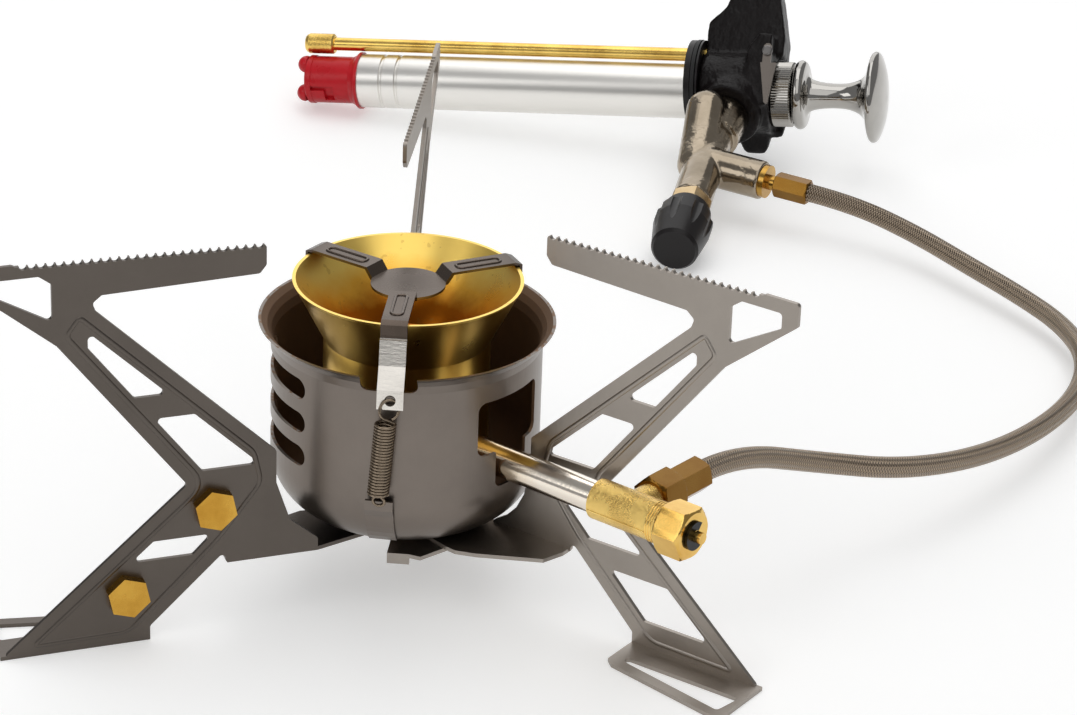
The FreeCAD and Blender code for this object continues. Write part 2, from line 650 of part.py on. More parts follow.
def under_cup(offset):
    """The inner edge of a web that follows the cup's round bottom at this distance off its middle."""
    radius = float(S.cup_round + S.cup_clear)
    corners = []
    for turn in (65.0, 50.0, 35.0, 18.0, 0.0):
        out = float(S.cup_radius - S.cup_round) + radius * math.cos(math.radians(turn))
        height = float(S.cup_bottom + S.cup_round) - radius * math.sin(math.radians(turn))
        corners.append((math.sqrt(out ** 2 - float(offset) ** 2), height))
    return corners


def arm_rim():
    """The corners of an arm's sloped top edge, its flat end and its end face, from the inside out."""
    top = S.pot_height
    return [(S.arm_inner, top - S.edge_drop), (S.flat_reach, top - S.edge_step), (S.flat_reach + 0.8, top),
            (S.arm_outer, top), (S.arm_outer, top - S.lug_drop)]


def arm_underside():
    """The corners of an arm's lower edge, from the crook to its inner end."""
    deep = S.pot_height - S.arm_deep
    low = S.pot_height - S.crook_deep
    return [(S.crook - 0.5, low - 4.6), (S.crook + 0.4, low - 2.1), (S.crook - 2.2, low),
            (S.arm_inner + 1.9, deep), (S.arm_inner, deep + 2.4)]


def toothed(body, name, shift):
    """Rounded teeth cut along an arm's sloped top edge."""
    slope = (S.edge_drop - S.edge_step) / (S.flat_reach - S.arm_inner)
    first = S.tooth_start + shift
    high = S.pot_height - S.edge_drop + S.tooth_sink + slope * (S.tooth_start - S.arm_inner)
    tooth = pocket(body, [(first, high - S.tooth_sink, S.tooth_radius)], S.pot_height * 2.0,
                   plane="XZ_Plane")
    sketch = tooth.Profile[0]
    start = Vector(first, high, 0)
    end = Vector(first + 10.0, high + slope * 10.0, 0)
    line = sketch.addGeometry(Part.LineSegment(start, end), True)
    pin_point(sketch, line, 1, first, high)
    pin_point(sketch, line, 2, first + 10.0, high + slope * 10.0)
    teeth = body.newObject("PartDesign::LinearPattern", name + "_teeth")
    teeth.Originals = [tooth]
    teeth.Direction = (sketch, ["Axis0"])
    bind(teeth, "Length", S.tooth_pitch * (S.tooth_count - 1.0))
    teeth.Occurrences = int(S.tooth_count)
    body.Tip = teeth


def level_corner(edge):
    """Whether an edge lies along Y."""
    box = edge.BoundBox
    return box.YLength > 0.5 and max(box.XLength, box.ZLength) < 0.01


def foot_corner(edge):
    """Whether an edge stands along Z in the foot's sheet."""
    box = edge.BoundBox
    return box.ZLength > 0.5 and max(box.XLength, box.YLength) < 0.01 and box.ZMax < S.leg_sheet + 0.1


def leg(name, angle, offset, level, shift, lower_strut, far_border, inner_edge,
        passes_spring=False, tail=False, jets=()):
    """A leg of folded sheet: upright web, hub plate to the pivot and slotted foot."""
    body = new_body(name)
    thick = S.leg_sheet
    face = offset + thick
    strut_foot = S.fold_outer + 0.5
    rim = arm_rim() + [
        (S.elbow_reach, S.elbow_height), (S.knee_reach, S.knee_height), (S.foot_outer, 0.0),
        (S.foot_inner, 0.0), (S.foot_inner, S.web_rise), (strut_foot, level + 4.0), (strut_foot, level),
        (S.fold_inner, level)] + inner_edge + [
        (S.hub_corner, S.hub_shoulder), (S.hub_corner, S.hub_corner_height)] + arm_underside()
    loops = [[(reach + shift, height) for reach, height in loop]
             for loop in [rim] + leg_windows(lower_strut, far_border)]
    loops += [(reach, height, S.spare_stem + S.slack) for reach, height in jets]
    pad(body, loops, thick, plane="XZ_Plane", offset=-face)
    round_edges(body, S.leg_corner, level_corner)
    inner = S.foot_inner + shift
    outer = S.foot_outer + shift
    near = offset - S.foot_slot_near
    pad(body, [[(inner, face), (inner, offset - S.foot_wide_inner),
                (inner + 2.5, offset - S.foot_wide_inner - 2.1), (outer, offset - S.foot_wide_outer),
                (outer, face)],
               [(inner + 3.6, near), (outer - 1.7, near), (outer - 3.2, offset - S.foot_slot_outer),
                (inner + 5.0, offset - S.foot_slot_inner)]], thick)
    round_edges(body, S.leg_corner,
                lambda edge: foot_corner(edge) and inner + 3.0 < edge.BoundBox.XMin < outer - 1.0)
    round_edges(body, S.foot_corner, lambda edge: foot_corner(edge) and edge.BoundBox.YMax < near - 5.0
                and edge.BoundBox.XMin > outer - 0.01)
    pad(body, [[(S.fold_outer + shift, face), (S.fold_outer + shift, offset - 3.0),
                (S.fold_outer + shift - 2.0, offset - S.hub_wide / 2.0),
                (S.fold_inner + 7.7, offset - S.hub_wide + 0.7),
                (S.fold_inner + 2.0, offset - S.hub_wide - 1.4),
                (S.fold_inner - 1.5, offset - S.hub_wide - 1.0), (0.0, -S.pivot_radius),
                (-S.pivot_radius * 0.8, -S.pivot_radius * 0.6), (-S.pivot_radius, 0.0),
                (-S.pivot_radius * 0.8, S.pivot_radius * 0.6), (0.0, S.pivot_radius),
                (S.fold_inner + shift, face)]], thick, offset=level)
    if tail:
        end = -S.tail_long
        stop = S.tail_far - S.stop_wide
        pad(body, [[(0.0, -S.pivot_radius), (0.0, S.tail_far), (end, S.tail_far), (end, stop),
                    (end - 1.0, stop - 3.3), (end + 5.8, S.tail_near), (end + 8.0, S.tail_near - 2.0)]],
            thick, offset=level)
        pad(body, [[(end, stop), (end, S.tail_far), (end + thick, S.tail_far), (end + thick, stop)]],
            S.stop_tall, offset=level - S.stop_tall)
    pocket(body, [(0.0, 0.0, S.pivot_hole)], S.pot_height)
    if passes_spring:
        clear = body.newObject("PartDesign::Pocket", name + "_swing")
        clear.Profile = outline(body, [(0.0, 0.0, S.swing_radius)], "XY_Plane", S.swing_low)
        bind(clear, "Length", S.lip_start - S.swing_low)
        clear.Reversed = True
    toothed(body, name, shift)
    keep(body, name, Placement(Vector(0, 0, 0), Rotation(UP, float(angle))))


RIGHT_LEVEL = S.cup_bottom - S.plate_gap - S.leg_sheet
LEFT_LEVEL = RIGHT_LEVEL - S.plate_gap - S.leg_sheet
BACK_LEVEL = LEFT_LEVEL - S.plate_gap - S.leg_sheet
RIGHT_FOOT = ((28.9, 38.5), (8.9, 21.9))
LEFT_FOOT = ((25.2, 31.1),)


def legs():
    """The fixed leg and the two that swing round the hub."""
    step = [(S.fold_inner, LEFT_LEVEL + 4.0), (S.fold_inner + 8.3, LEFT_LEVEL + 11.0)]
    back_step = [(S.fold_inner, BACK_LEVEL + 4.0), (S.fold_inner + 8.3, BACK_LEVEL + 11.0)]
    jets = [(S.spare_high_reach, S.spare_high), (S.spare_low_reach, S.spare_low)]
    leg("leg_right", S.right_angle, S.right_offset, RIGHT_LEVEL, 0.0, RIGHT_FOOT, S.strut_border,
        under_cup(S.right_offset))
    leg("leg_left", S.left_angle, S.left_offset, LEFT_LEVEL, S.left_shift, LEFT_FOOT, S.leg_border,
        step, passes_spring=True, jets=jets)
    leg("leg_back", S.back_angle, S.back_offset, BACK_LEVEL, 0.0, RIGHT_FOOT, S.strut_border,
        back_step, tail=True)


def hub():
    """Rivet that the legs swing on, and the washer above its head."""
    low = BACK_LEVEL - S.plate_gap - S.washer_tall
    head = low - S.rivet_head_tall
    top = S.cup_bottom + S.cup_wall
    turned("hub_rivet", [(0.0, head), (S.rivet_head, head), (S.rivet_head, low), (S.rivet_radius, low),
                         (S.rivet_radius, top), (S.rivet_head, top), (S.rivet_head, top + 1.0),
                         (0.0, top + 1.0)])
    turned("hub_washer", ring_profile(S.rivet_head + 1.5, S.rivet_radius + S.fit_gap,
                                      low, low + S.washer_tall))


def spare_jet(name, reach, height):
    """Spare brass jet kept in a hole of the left leg: hexagon head outside, stem inside."""
    body = new_body(name)
    inward = S.leg_sheet + S.spare_long
    pad(body, [hexagon(S.spare_across)], S.spare_head)
    pad(body, [(0.0, 0.0, S.spare_stem)], inward, offset=-inward)
    face = S.left_offset + S.leg_sheet
    turn = Rotation(UP, float(S.left_angle))
    spot = turn.multVec(Vector(reach, float(face), height))
    outward = turn.multVec(Vector(0, 1, 0))
    keep(body, name, axis_place(spot, outward))


# ---------------------------------------------------------------- pump
PUMP_FOOT = Vector(float(S.foot_x), float(S.foot_y), float(S.foot_z))
PUMP_WAY = heading(S.pump_turn, S.pump_climb)
PUMP_SIDE = UP.cross(PUMP_WAY).normalize()
PUMP_RISE = PUMP_WAY.cross(PUMP_SIDE)
PUMP = Placement(FreeCAD.Matrix(PUMP_SIDE.x, PUMP_RISE.x, PUMP_WAY.x, PUMP_FOOT.x,
                                PUMP_SIDE.y, PUMP_RISE.y, PUMP_WAY.y, PUMP_FOOT.y,
                                PUMP_SIDE.z, PUMP_RISE.z, PUMP_WAY.z, PUMP_FOOT.z,
                                0, 0, 0, 1))


def around_pump(angle, distance, station=0.0):
    """A placement parallel to the pump's axis, off to one side of it; 0 degrees is level and away."""
    turn = math.radians(float(angle))
    spot = Vector(distance * math.cos(turn), distance * math.sin(turn), float(station))
    return PUMP.multiply(Placement(spot, Rotation()))


COLLAR = PUMP.multiply(Placement(Vector(0, float(S.collar_rise), 0), Rotation()))
PICKUP = around_pump(S.pickup_tilt, S.pickup_side)
WING = rolled(PUMP, S.wing_angle)


def pump_tube():
    """Thin barrel with two rolled grooves near its foot."""
    outer = S.pump_radius
    inner = outer - S.pump_wall
    profile = [(inner, S.tube_foot), (outer, S.tube_foot)]
    for start in (S.groove_first, S.groove_second):
        profile += [(outer, start), (outer - S.groove_deep, start + S.groove_wide * 0.3),
                    (outer - S.groove_deep, start + S.groove_wide * 0.7), (outer, start + S.groove_wide)]
    profile += [(outer, S.grip_to), (inner, S.grip_to)]
    turned("pump_tube", profile, PUMP)


def foot_cap():
    """Red cap that plugs the tube's foot: thin flange, lobed end, bayonet groove and a valve chamber."""
    plug = S.pump_radius - S.pump_wall - S.fit_gap
    way = S.valve_disc_radius - 1.2
    chamber = S.valve_disc_radius + S.slack
    end = S.cap_end
    body = S.cap_radius
    flange = S.tube_foot - S.fit_gap
    shell = new_body("cap_shell")
    revolve(shell, [(way, end), (body, end), (body + 0.3, end + 0.5), (body + 0.3, end + S.cap_disc),
                    (body, end + S.cap_disc + 0.3), (body, flange - 3.8), (body + 0.7, flange - 2.3),
                    (S.cap_flange, flange - 1.0), (S.cap_flange, flange), (plug, flange), (plug, S.cap_plug),
                    (chamber, S.cap_plug), (chamber, S.valve_seat_at), (way, S.valve_seat_at)])
    shell.Placement = PUMP
    lobes = []
    for k in range(3):
        spot = around_pump(S.cap_lobe_angle + 120.0 * k, S.cap_lobe_at, end - 0.9)
        lobes.append(ball("cap_lobe", S.cap_lobe, spot.Base))
    low = end + S.cap_disc
    slots = [ring_slot("cap_slot", body + 1.0, S.cap_slot_radius, low, S.cap_slot_high,
                       S.cap_slot_from, 11.5, PUMP),
             ring_slot("cap_slot_turn", body + 1.0, S.cap_slot_radius, S.cap_slot_turn, S.cap_slot_high,
                       S.cap_slot_from, 43.0, PUMP),
             drum("cap_way", way, end - S.cap_lobe * 2.0, S.valve_seat_at, PUMP)]
    keep(cut_away("foot_cap", joined("cap_solid", [shell] + lobes), slots), "foot_cap")


def check_valve():
    """Rubber disc on its seat and the light spring behind it."""
    low = S.valve_seat_at + 0.1
    turned("check_valve_disc", disc_profile(S.valve_disc_radius, low, low + S.valve_disc_long), PUMP)


def pickup_tube():
    """Brass fuel tube beside the barrel and its filter."""
    turned("pickup_tube", ring_profile(S.pickup_radius, S.pickup_radius - S.pickup_wall,
                                       S.filter_from + 2.0, S.grip_from + S.pickup_seat), PICKUP)
    bore = S.pickup_radius + S.fit_gap
    start = S.filter_from
    end = start + S.filter_long
    turned("pickup_filter", [(bore, start + 0.5), (bore + 0.4, start), (S.filter_radius - 0.5, start + 0.4),
                             (S.filter_radius, start + 1.4), (S.filter_radius, end - 0.6),
                             (S.filter_radius - 0.6, end), (bore, end)], PICKUP)


def collar_and_seal():
    """Threaded collar that goes into the bottle's neck, and the ring that seals it."""
    low = S.grip_from - S.collar_long
    high = S.grip_from + 1.0
    ring = drum("collar_disc", S.collar_radius, low, S.grip_from, COLLAR)
    groove_at = S.grip_from - S.seal_wire * 2.0
    groove_end = groove_at + S.seal_wire * 1.5
    outside = drum("collar_groove_outside", S.collar_radius + 1.0, groove_at, groove_end, COLLAR)
    core = drum("collar_groove_core", S.seal_radius - S.seal_wire, groove_at - 1.0, groove_end + 1.0, COLLAR)
    rooms = [drum("collar_bore", S.pump_radius + S.fit_gap, low - 1.0, high, PUMP),
             drum("collar_pickup_bore", S.pickup_radius + S.fit_gap, low - 1.0, high, PICKUP),
             cut_away("collar_groove", outside, [core])]
    keep(cut_away("bottle_collar", ring, rooms), "bottle_collar")
    seal_low = groove_at + S.seal_wire * 0.2
    turned("neck_seal", ring_profile(S.seal_radius, S.seal_radius - S.seal_wire + S.fit_gap,
                                     seal_low, seal_low + S.seal_wire), COLLAR)


def wing_blank(name, side_view, tall, thick, angle):
    """A flat wing that stands out from the pump's axis, drawn as (reach, station) corners."""
    body = new_body(name)
    pad(body, [side_view], thick, plane="XZ_Plane", middle=True)
    round_edges(body, thick * 0.3, lambda edge: abs(edge.BoundBox.YLength) < 0.01
                and abs(edge.BoundBox.XMin - edge.BoundBox.XMax) < 0.01 and edge.BoundBox.XMin > tall - 0.1)
    body.Placement = PUMP.multiply(Placement(Vector(0, 0, 0), Rotation(UP, float(angle))))
    return body


def pump_body():
    """Black grip: round hub, long wing, short lobe, a seat for the stop plate, the valve's barrel."""
    near = S.grip_from + S.wing_gap
    far = S.grip_to
    clear = S.knurl_radius + 1.0
    back = far - 1.0
    tall = S.wing_tall
    hub_drum = drum("grip_hub", S.grip_radius, near, far, PUMP)
    wing = wing_blank("grip_wing", [
        (0.0, near), (tall * 0.56, near), (tall * 0.62, near + 2.8), (tall * 0.7, near + 6.2),
        (tall * 0.82, near + 7.8), (tall, near + 11.0), (tall, back - 1.5), (tall * 0.8, far),
        (tall * 0.45, far + 3.2), (clear, far + 3.0), (clear, back), (0.0, back)],
        tall, S.wing_thick, S.wing_angle)
    tall = S.lobe_tall
    lobe = wing_blank("grip_lobe", [
        (0.0, near + 5.0), (tall * 0.5, near + 10.0), (tall * 0.95, near + 14.2), (tall, near + 16.0),
        (tall, far - 5.1), (tall * 0.84, far - 2.9), (tall * 0.67, far - 2.2), (tall * 0.65, far + 2.7),
        (clear, far + 3.4), (clear, back), (0.0, back)], tall, S.lobe_thick, S.lobe_angle)
    seat = new_body("grip_seat")
    pad(seat, [[(-9.0, far - 6.5), (-7.0, far - 9.0), (13.0, far - 9.0), (19.0, far - 5.0), (19.0, far),
                (-9.0, far)]], S.stop_seat, plane="XZ_Plane", offset=-S.stop_seat)
    seat.Placement = WING
    barrel = drum("grip_barrel", S.arm_radius, 0.0, S.arm_long, ARM)
    solid = joined("grip_solid", [hub_drum, wing, lobe, seat, barrel])
    low = S.grip_from - S.collar_long - S.slack
    rooms = [drum("grip_bore", S.pump_radius + S.fit_gap, S.grip_from - 1.0, far + 1.0, PUMP),
             drum("grip_pickup_bore", S.pickup_radius + S.fit_gap, S.grip_from - 1.0,
                  S.grip_from + S.pickup_seat + S.fit_gap, PICKUP),
             drum("grip_spigot_bore", S.spigot_radius + S.fit_gap, S.pump_radius + 2.5, S.arm_long + 1.0,
                  ARM),
             drum("grip_neck_room", S.collar_radius + S.neck_wall, low, S.grip_from + S.wing_gap / 2.0,
                  COLLAR)]
    keep(cut_away("pump_body", solid, rooms), "pump_body")


def stop_plate():
    """Small steel plate screwed to the grip; its point hangs over the knurled nut."""
    body = new_body("nut_stop_plate")
    seat = S.stop_seat + S.fit_gap
    far = S.grip_to
    pad(body, [[(6.9, far - 3.4), (6.9, far - 2.7), (13.4, far - 2.7), (14.4, far - 1.7), (14.4, far - 0.5),
                (13.4, far + 0.4), (6.9, far + 0.4), (7.0, far + 2.5), (-8.3, far + 0.6), (-8.9, far - 0.1),
                (-8.3, far - 0.8)]], S.stop_sheet, plane="XZ_Plane", offset=-(seat + S.stop_sheet))
    keep(body, "nut_stop_plate", WING)
    head = seat + S.stop_sheet
    spot = WING.multiply(Placement(Vector(11.5, 0, float(far - 1.1)), Rotation(Vector(1, 0, 0), -90)))
    turned("stop_plate_screw", [(0.0, head), (S.stop_screw_head, head), (S.stop_screw_head, head + 0.7),
                                (S.stop_screw_head - 0.5, head + 1.1), (0.0, head + 1.1)], spot)


def plunger():
    """Knurled nut, and the plunger that slides through it: knob, rod, piston and cup leather."""
    bore = S.rod_radius + S.fit_gap
    inner = S.pump_radius - S.pump_wall - S.fit_gap
    face = S.grip_to + S.fit_gap
    nut_end = S.grip_to + S.knurl_long
    turned("knurled_nut", [(bore, S.grip_to - 5.0), (inner, S.grip_to - 5.0), (inner, face),
                           (S.knurl_radius, face), (S.knurl_radius, nut_end), (bore, nut_end)], PUMP)
    start = nut_end + S.knob_gap
    end = start + S.knob_long
    flange = start + S.flange_long
    turned("plunger_knob", [
        (S.rod_radius, start), (S.flange_radius - 1.3, start), (S.flange_radius - 0.2, start + 1.2),
        (S.flange_radius, start + 2.2), (S.flange_radius - 0.3, flange - 1.1),
        (S.flange_radius - 1.5, flange),
        (S.stem_radius + 1.7, flange + 0.2), (S.stem_radius + 0.6, flange + 3.5),
        (S.stem_radius, flange + 8.5), (S.stem_radius, end - 16.0), (S.stem_radius + 0.8, end - 12.5),
        (S.stem_radius + 2.3, end - 9.5), (S.stem_radius + 5.4, end - 7.4), (S.knob_radius - 0.9, end - 6.2),
        (S.knob_radius, end - 5.2), (S.knob_radius, end - 4.2), (S.knob_radius - 0.9, end - 3.0),
        (S.knob_radius * 0.65, end - 1.2), (S.knob_radius * 0.33, end - 0.3), (0.0, end),
        (0.0, end - 4.0), (S.rod_radius, end - 4.0)], PUMP)
    piston = S.piston_at
    turned("plunger_rod", disc_profile(S.rod_radius, piston, end - 4.0), PUMP)
    turned("piston", ring_profile(S.piston_radius, S.rod_radius, piston, piston + S.piston_long), PUMP)
    low = piston - S.leather_long
    skirt = S.leather_radius - 0.8
    turned("cup_leather", [(S.rod_radius, piston), (S.leather_radius, piston), (S.leather_radius, low),
                           (skirt, low), (skirt, piston - 1.0), (S.rod_radius, piston - 1.0)], PUMP)
    head = S.rod_radius + 1.5
    neck = S.rod_radius - 0.5
    turned("piston_screw", [(0.0, low + 1.5), (head, low + 1.5), (head, piston - 1.0),
                            (neck, piston - 1.0), (neck, piston), (0.0, piston)], PUMP)


# ---------------------------------------------------------------- valve
def at_grip(level, up, along_pump):
    """A point this far level and away, up, and along the pump from the grip's middle."""
    station = S.grip_to - S.arm_back + along_pump
    return PUMP.multVec(Vector(float(level), float(up), float(station)))


GRIP_MIDDLE = at_grip(0.0, 0.0, 0.0)
ARM = axis_place(GRIP_MIDDLE, at_grip(S.neck_level, S.neck_up, S.neck_along) - GRIP_MIDDLE)
HUMP_TOP = at_grip(S.hump_level, S.hump_up, S.hump_along)
HUMP_LOW = at_grip(S.hump_low_level, S.hump_low_up, S.hump_low_along)
STEM_FOOT = at_grip(S.stem_level, S.stem_up, S.stem_along)
DIAL_TIP = at_grip(S.tip_level, S.tip_up, S.tip_along)
PORT_END = at_grip(S.port_level, S.port_up, S.port_along)
HUMP = axis_place(HUMP_TOP, HUMP_LOW - HUMP_TOP)
STEM = axis_place(STEM_FOOT, DIAL_TIP - STEM_FOOT)
PORT_ROOT = STEM.multVec(Vector(0, 0, float(S.port_at)))
PORT = axis_place(PORT_ROOT, PORT_END - PORT_ROOT)


def valve_body():
    """Plated casting: stem barrel, rounded hump, neck and spigot into the grip, and hose port."""
    hump_long = (HUMP_LOW - HUMP_TOP).Length
    solids = [drum("valve_barrel", S.valve_radius, S.valve_from, S.valve_long, STEM),
              drum("valve_hump", S.hump_radius, 0.0, hump_long, HUMP),
              ball("valve_hump_top", S.hump_radius, HUMP_TOP),
              ball("valve_hump_low", S.hump_radius, HUMP_LOW),
              drum("valve_neck", S.neck_radius, S.arm_long + S.wing_gap, S.neck_end, ARM),
              drum("valve_spigot", S.spigot_radius, S.pump_radius + 3.0, S.arm_long + 2.0, ARM),
              drum("valve_port", S.port_radius, 0.0, S.port_long, PORT)]
    end = S.valve_long + 1.0
    rooms = [drum("valve_bore", S.spindle_radius + S.slack, S.valve_long - 34.0, end, STEM),
             drum("valve_way", S.nipple_radius, 0.0, S.port_long + 1.0, PORT),
             drum("valve_seal_room", S.ring_radius + S.slack, S.valve_long - 4.0, end, STEM)]
    keep(cut_away("valve_body", joined("valve_solid", solids), rooms), "valve_body")


def valve_parts():
    """Gland nut, spindle with its seal, and the fluted control knob."""
    gland = along(STEM, S.valve_long)
    hex_piece("gland_nut", S.gland_across, S.spindle_radius + S.fit_gap, S.gland_long, gland)
    low = S.valve_long - 4.0 + S.fit_gap
    turned("spindle_seal", ring_profile(S.ring_radius, S.spindle_radius + S.fit_gap, low, low + S.ring_wire),
           STEM)
    tip = (DIAL_TIP - STEM_FOOT).Length
    turned("valve_spindle", [(0.0, tip - S.spindle_long), (S.spindle_radius, tip - S.spindle_long + 4.0),
                             (S.spindle_radius, tip - 6.0), (0.0, tip - 6.0)], STEM)
    low = tip - S.dial_long
    floor = low + S.dial_deep
    blank = new_body("dial_blank")
    revolve(blank, [(S.spindle_radius, floor), (S.dial_bore, floor), (S.dial_bore, low), (S.dial_neck, low),
                    (S.dial_neck, low + 3.5), (S.dial_radius, low + 5.0), (S.dial_radius, low + 11.0),
                    (S.dial_end, tip - 1.2), (S.dial_end - 1.0, tip), (0.0, tip), (0.0, tip - 6.0),
                    (S.spindle_radius, tip - 6.0)])
    blank.Placement = STEM
    flutes = []
    for k in range(8):
        turn = math.radians(45.0 * k)
        reach = S.dial_radius + 1.2
        spot = Placement(Vector(reach * math.cos(turn), reach * math.sin(turn), 0.0), Rotation())
        flutes.append(drum("dial_flute", S.dial_radius * 0.22, low - 1.0, tip + 1.0, STEM.multiply(spot)))
    keep(cut_away("valve_knob", blank, flutes), "valve_knob")


def hose_end_at_pump():
    """Ring in the port, thin nipple and the ferrule that grips the hose."""
    turned("port_ring", ring_profile(S.port_ring_radius, S.nipple_radius + S.fit_gap, 0.0, S.port_ring),
           along(PORT, S.port_long))
    start = S.port_long + S.port_ring
    turned("hose_nipple", ring_profile(S.nipple_radius, 1.2, S.port_long - 8.0, start + S.nipple_long), PORT)
    hex_piece("pump_ferrule", S.pump_ferrule_across, S.hose_radius - 1.0, S.pump_ferrule_long,
              along(PORT, start + S.nipple_long))


# ---------------------------------------------------------------- hose
def hose_route():
    """Corner points of the hose from the stove's ferrule to the pump's."""
    start = SIDE.multVec(Vector(0, 0, S.side_long + S.elbow_long + S.stove_ferrule_long))
    leaving = SIDE.Rotation.multVec(UP)
    end = PORT.multVec(Vector(0, 0, S.port_long + S.port_ring + S.nipple_long + S.pump_ferrule_long))
    arriving = PORT.Rotation.multVec(UP)
    return [start, start + leaving * 18.0, Vector(123.5, 13.0, 31.0), Vector(149.0, 24.0, 23.5),
            Vector(175.5, 46.5, 16.2), Vector(199.0, 74.0, 11.8), Vector(218.0, 106.0, 9.0),
            Vector(226.8, 138.0, 8.3), Vector(223.0, 164.0, 8.3), Vector(212.0, 186.0, 9.0),
            Vector(198.5, 207.0, 10.0), Vector(181.5, 232.5, 11.8), end + arriving * 17.0, end]


def hose_path(points):
    """Straight runs joined by tangent arcs, each as large as its shorter run allows."""
    edges = []
    last = points[0]
    radii = []
    for before, corner, after in zip(points, points[1:], points[2:]):
        inward = (before - corner)
        outward = (after - corner)
        shorter = min(inward.Length, outward.Length)
        inward.normalize()
        outward.normalize()
        half_turn = (math.pi - inward.getAngle(outward)) / 2.0
        cut_back = 0.45 * shorter
        radius = cut_back / math.tan(half_turn)
        first = corner + inward * cut_back
        second = corner + outward * cut_back
        bisector = (inward + outward).normalize()
        middle = corner + bisector * (radius / math.cos(half_turn) - radius)
        edges.append(Part.LineSegment(last, first).toShape())
        edges.append(Part.Arc(first, middle, second).toShape())
        last = second
        radii.append(radius)
    edges.append(Part.LineSegment(last, points[-1]).toShape())
    print("hose radii", [round(radius, 1) for radius in radii])
    return Part.Wire(edges)


def fuel_hose():
    """Braided hose, as one plain tube along its route."""
    path = hose_path(hose_route())
    start = path.Edges[0]
    section = Part.Wire(Part.makeCircle(float(S.hose_radius), start.valueAt(start.FirstParameter),
                                        start.tangentAt(start.FirstParameter)))
    tube = path.makePipeShell([section], True, False)
    hose = doc.addObject("Part::Feature", "fuel_hose")
    hose.Shape = tube
    swept = math.pi * float(S.hose_radius) ** 2 * path.Length
    print("hose length %.1f, volume %.0f of %.0f" % (path.Length, tube.Volume, swept))
    keep(hose, "fuel_hose")


# ---------------------------------------------------------------- whole object
def build():
    """Makes every sub-part."""
    burner_housing()
    burner_bell()
    flame_plate()
    spring_strap()
    plate_spring()
    spring_lug()
    priming_pad()
    mixing_tube()
    vaporiser_tube()
    jet_block()
    jet()
    block_nut()
    block_pin()
    e_clip()
    hose_end_at_stove()
    legs()
    hub()
    spare_jet("spare_jet_upper", S.spare_high_reach, S.spare_high)
    spare_jet("spare_jet_lower", S.spare_low_reach, S.spare_low)
    pump_tube()
    foot_cap()
    check_valve()
    pickup_tube()
    collar_and_seal()
    pump_body()
    stop_plate()
    plunger()
    valve_body()
    valve_parts()
    hose_end_at_pump()
    fuel_hose()
    doc.recompute()


def check():
    """Stops if any object failed or any sub-part's shape is not one sound solid or group."""
    for thing in doc.Objects:
        bad = [state for state in thing.State if state in ("Invalid", "Error")]
        if bad:
            raise RuntimeError("%s: %s" % (thing.Label, bad))
    for thing in PARTS:
        if thing.Shape.isNull() or not thing.Shape.isValid() or not thing.Shape.Solids:
            raise RuntimeError("%s: bad shape" % thing.Label)


def write():
    """Writes each sub-part to its own file."""
    os.makedirs("parts", exist_ok=True)
    for thing in PARTS:
        thing.Shape.exportStep("parts/%s.step" % thing.Label)
    print(len(PARTS), "sub-parts written")


build()
check()
write()
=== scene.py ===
"""Folding camping pressure stove with a braided fuel hose and a bottle pump.

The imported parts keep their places; this script gives them their finishes, and puts finer pieces
where a plain solid doesn't show what the real piece does.  Metres, +Z up, the burner's axis is Z.
"""
import math

import bpy
import numpy as np
from mathutils import Matrix, Vector


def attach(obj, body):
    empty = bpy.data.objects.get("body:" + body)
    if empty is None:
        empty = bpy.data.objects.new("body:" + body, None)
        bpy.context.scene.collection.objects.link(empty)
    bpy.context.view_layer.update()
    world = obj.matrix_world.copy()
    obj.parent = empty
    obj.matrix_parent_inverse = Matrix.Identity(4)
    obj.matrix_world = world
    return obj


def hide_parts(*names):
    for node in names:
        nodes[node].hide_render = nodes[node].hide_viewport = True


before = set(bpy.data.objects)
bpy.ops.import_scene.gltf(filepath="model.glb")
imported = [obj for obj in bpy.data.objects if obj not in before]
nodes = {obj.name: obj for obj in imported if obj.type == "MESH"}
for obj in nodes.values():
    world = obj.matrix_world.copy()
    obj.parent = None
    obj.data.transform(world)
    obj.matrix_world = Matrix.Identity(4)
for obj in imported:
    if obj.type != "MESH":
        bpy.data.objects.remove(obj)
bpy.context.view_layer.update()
scene = bpy.context.scene

# ------------------------------------------------------------------ view
# A long lens looks down on the stove from its front, a metre away.
eye = Vector((-0.01678, -0.98711, 0.53036))
yaw, pitch, roll = math.radians(3.1695), math.radians(24.9601), math.radians(2.0718)
ahead = Vector((math.sin(yaw) * math.cos(pitch), math.cos(yaw) * math.cos(pitch), -math.sin(pitch)))
level_right = Vector((math.cos(yaw), -math.sin(yaw), 0.0))
level_up = level_right.cross(ahead)
right = math.cos(roll) * level_right + math.sin(roll) * level_up
up = -math.sin(roll) * level_right + math.cos(roll) * level_up
lens = bpy.data.cameras.new("front_view")
lens.sensor_fit = "HORIZONTAL"
lens.sensor_width = 36.0
lens.lens = 126.74
lens.clip_end = 50.0
camera = bpy.data.objects.new("front_view", lens)
camera.matrix_world = Matrix.Translation(eye) @ Matrix((right, up, -ahead)).transposed().to_4x4()
scene.collection.objects.link(camera)
scene.camera = camera

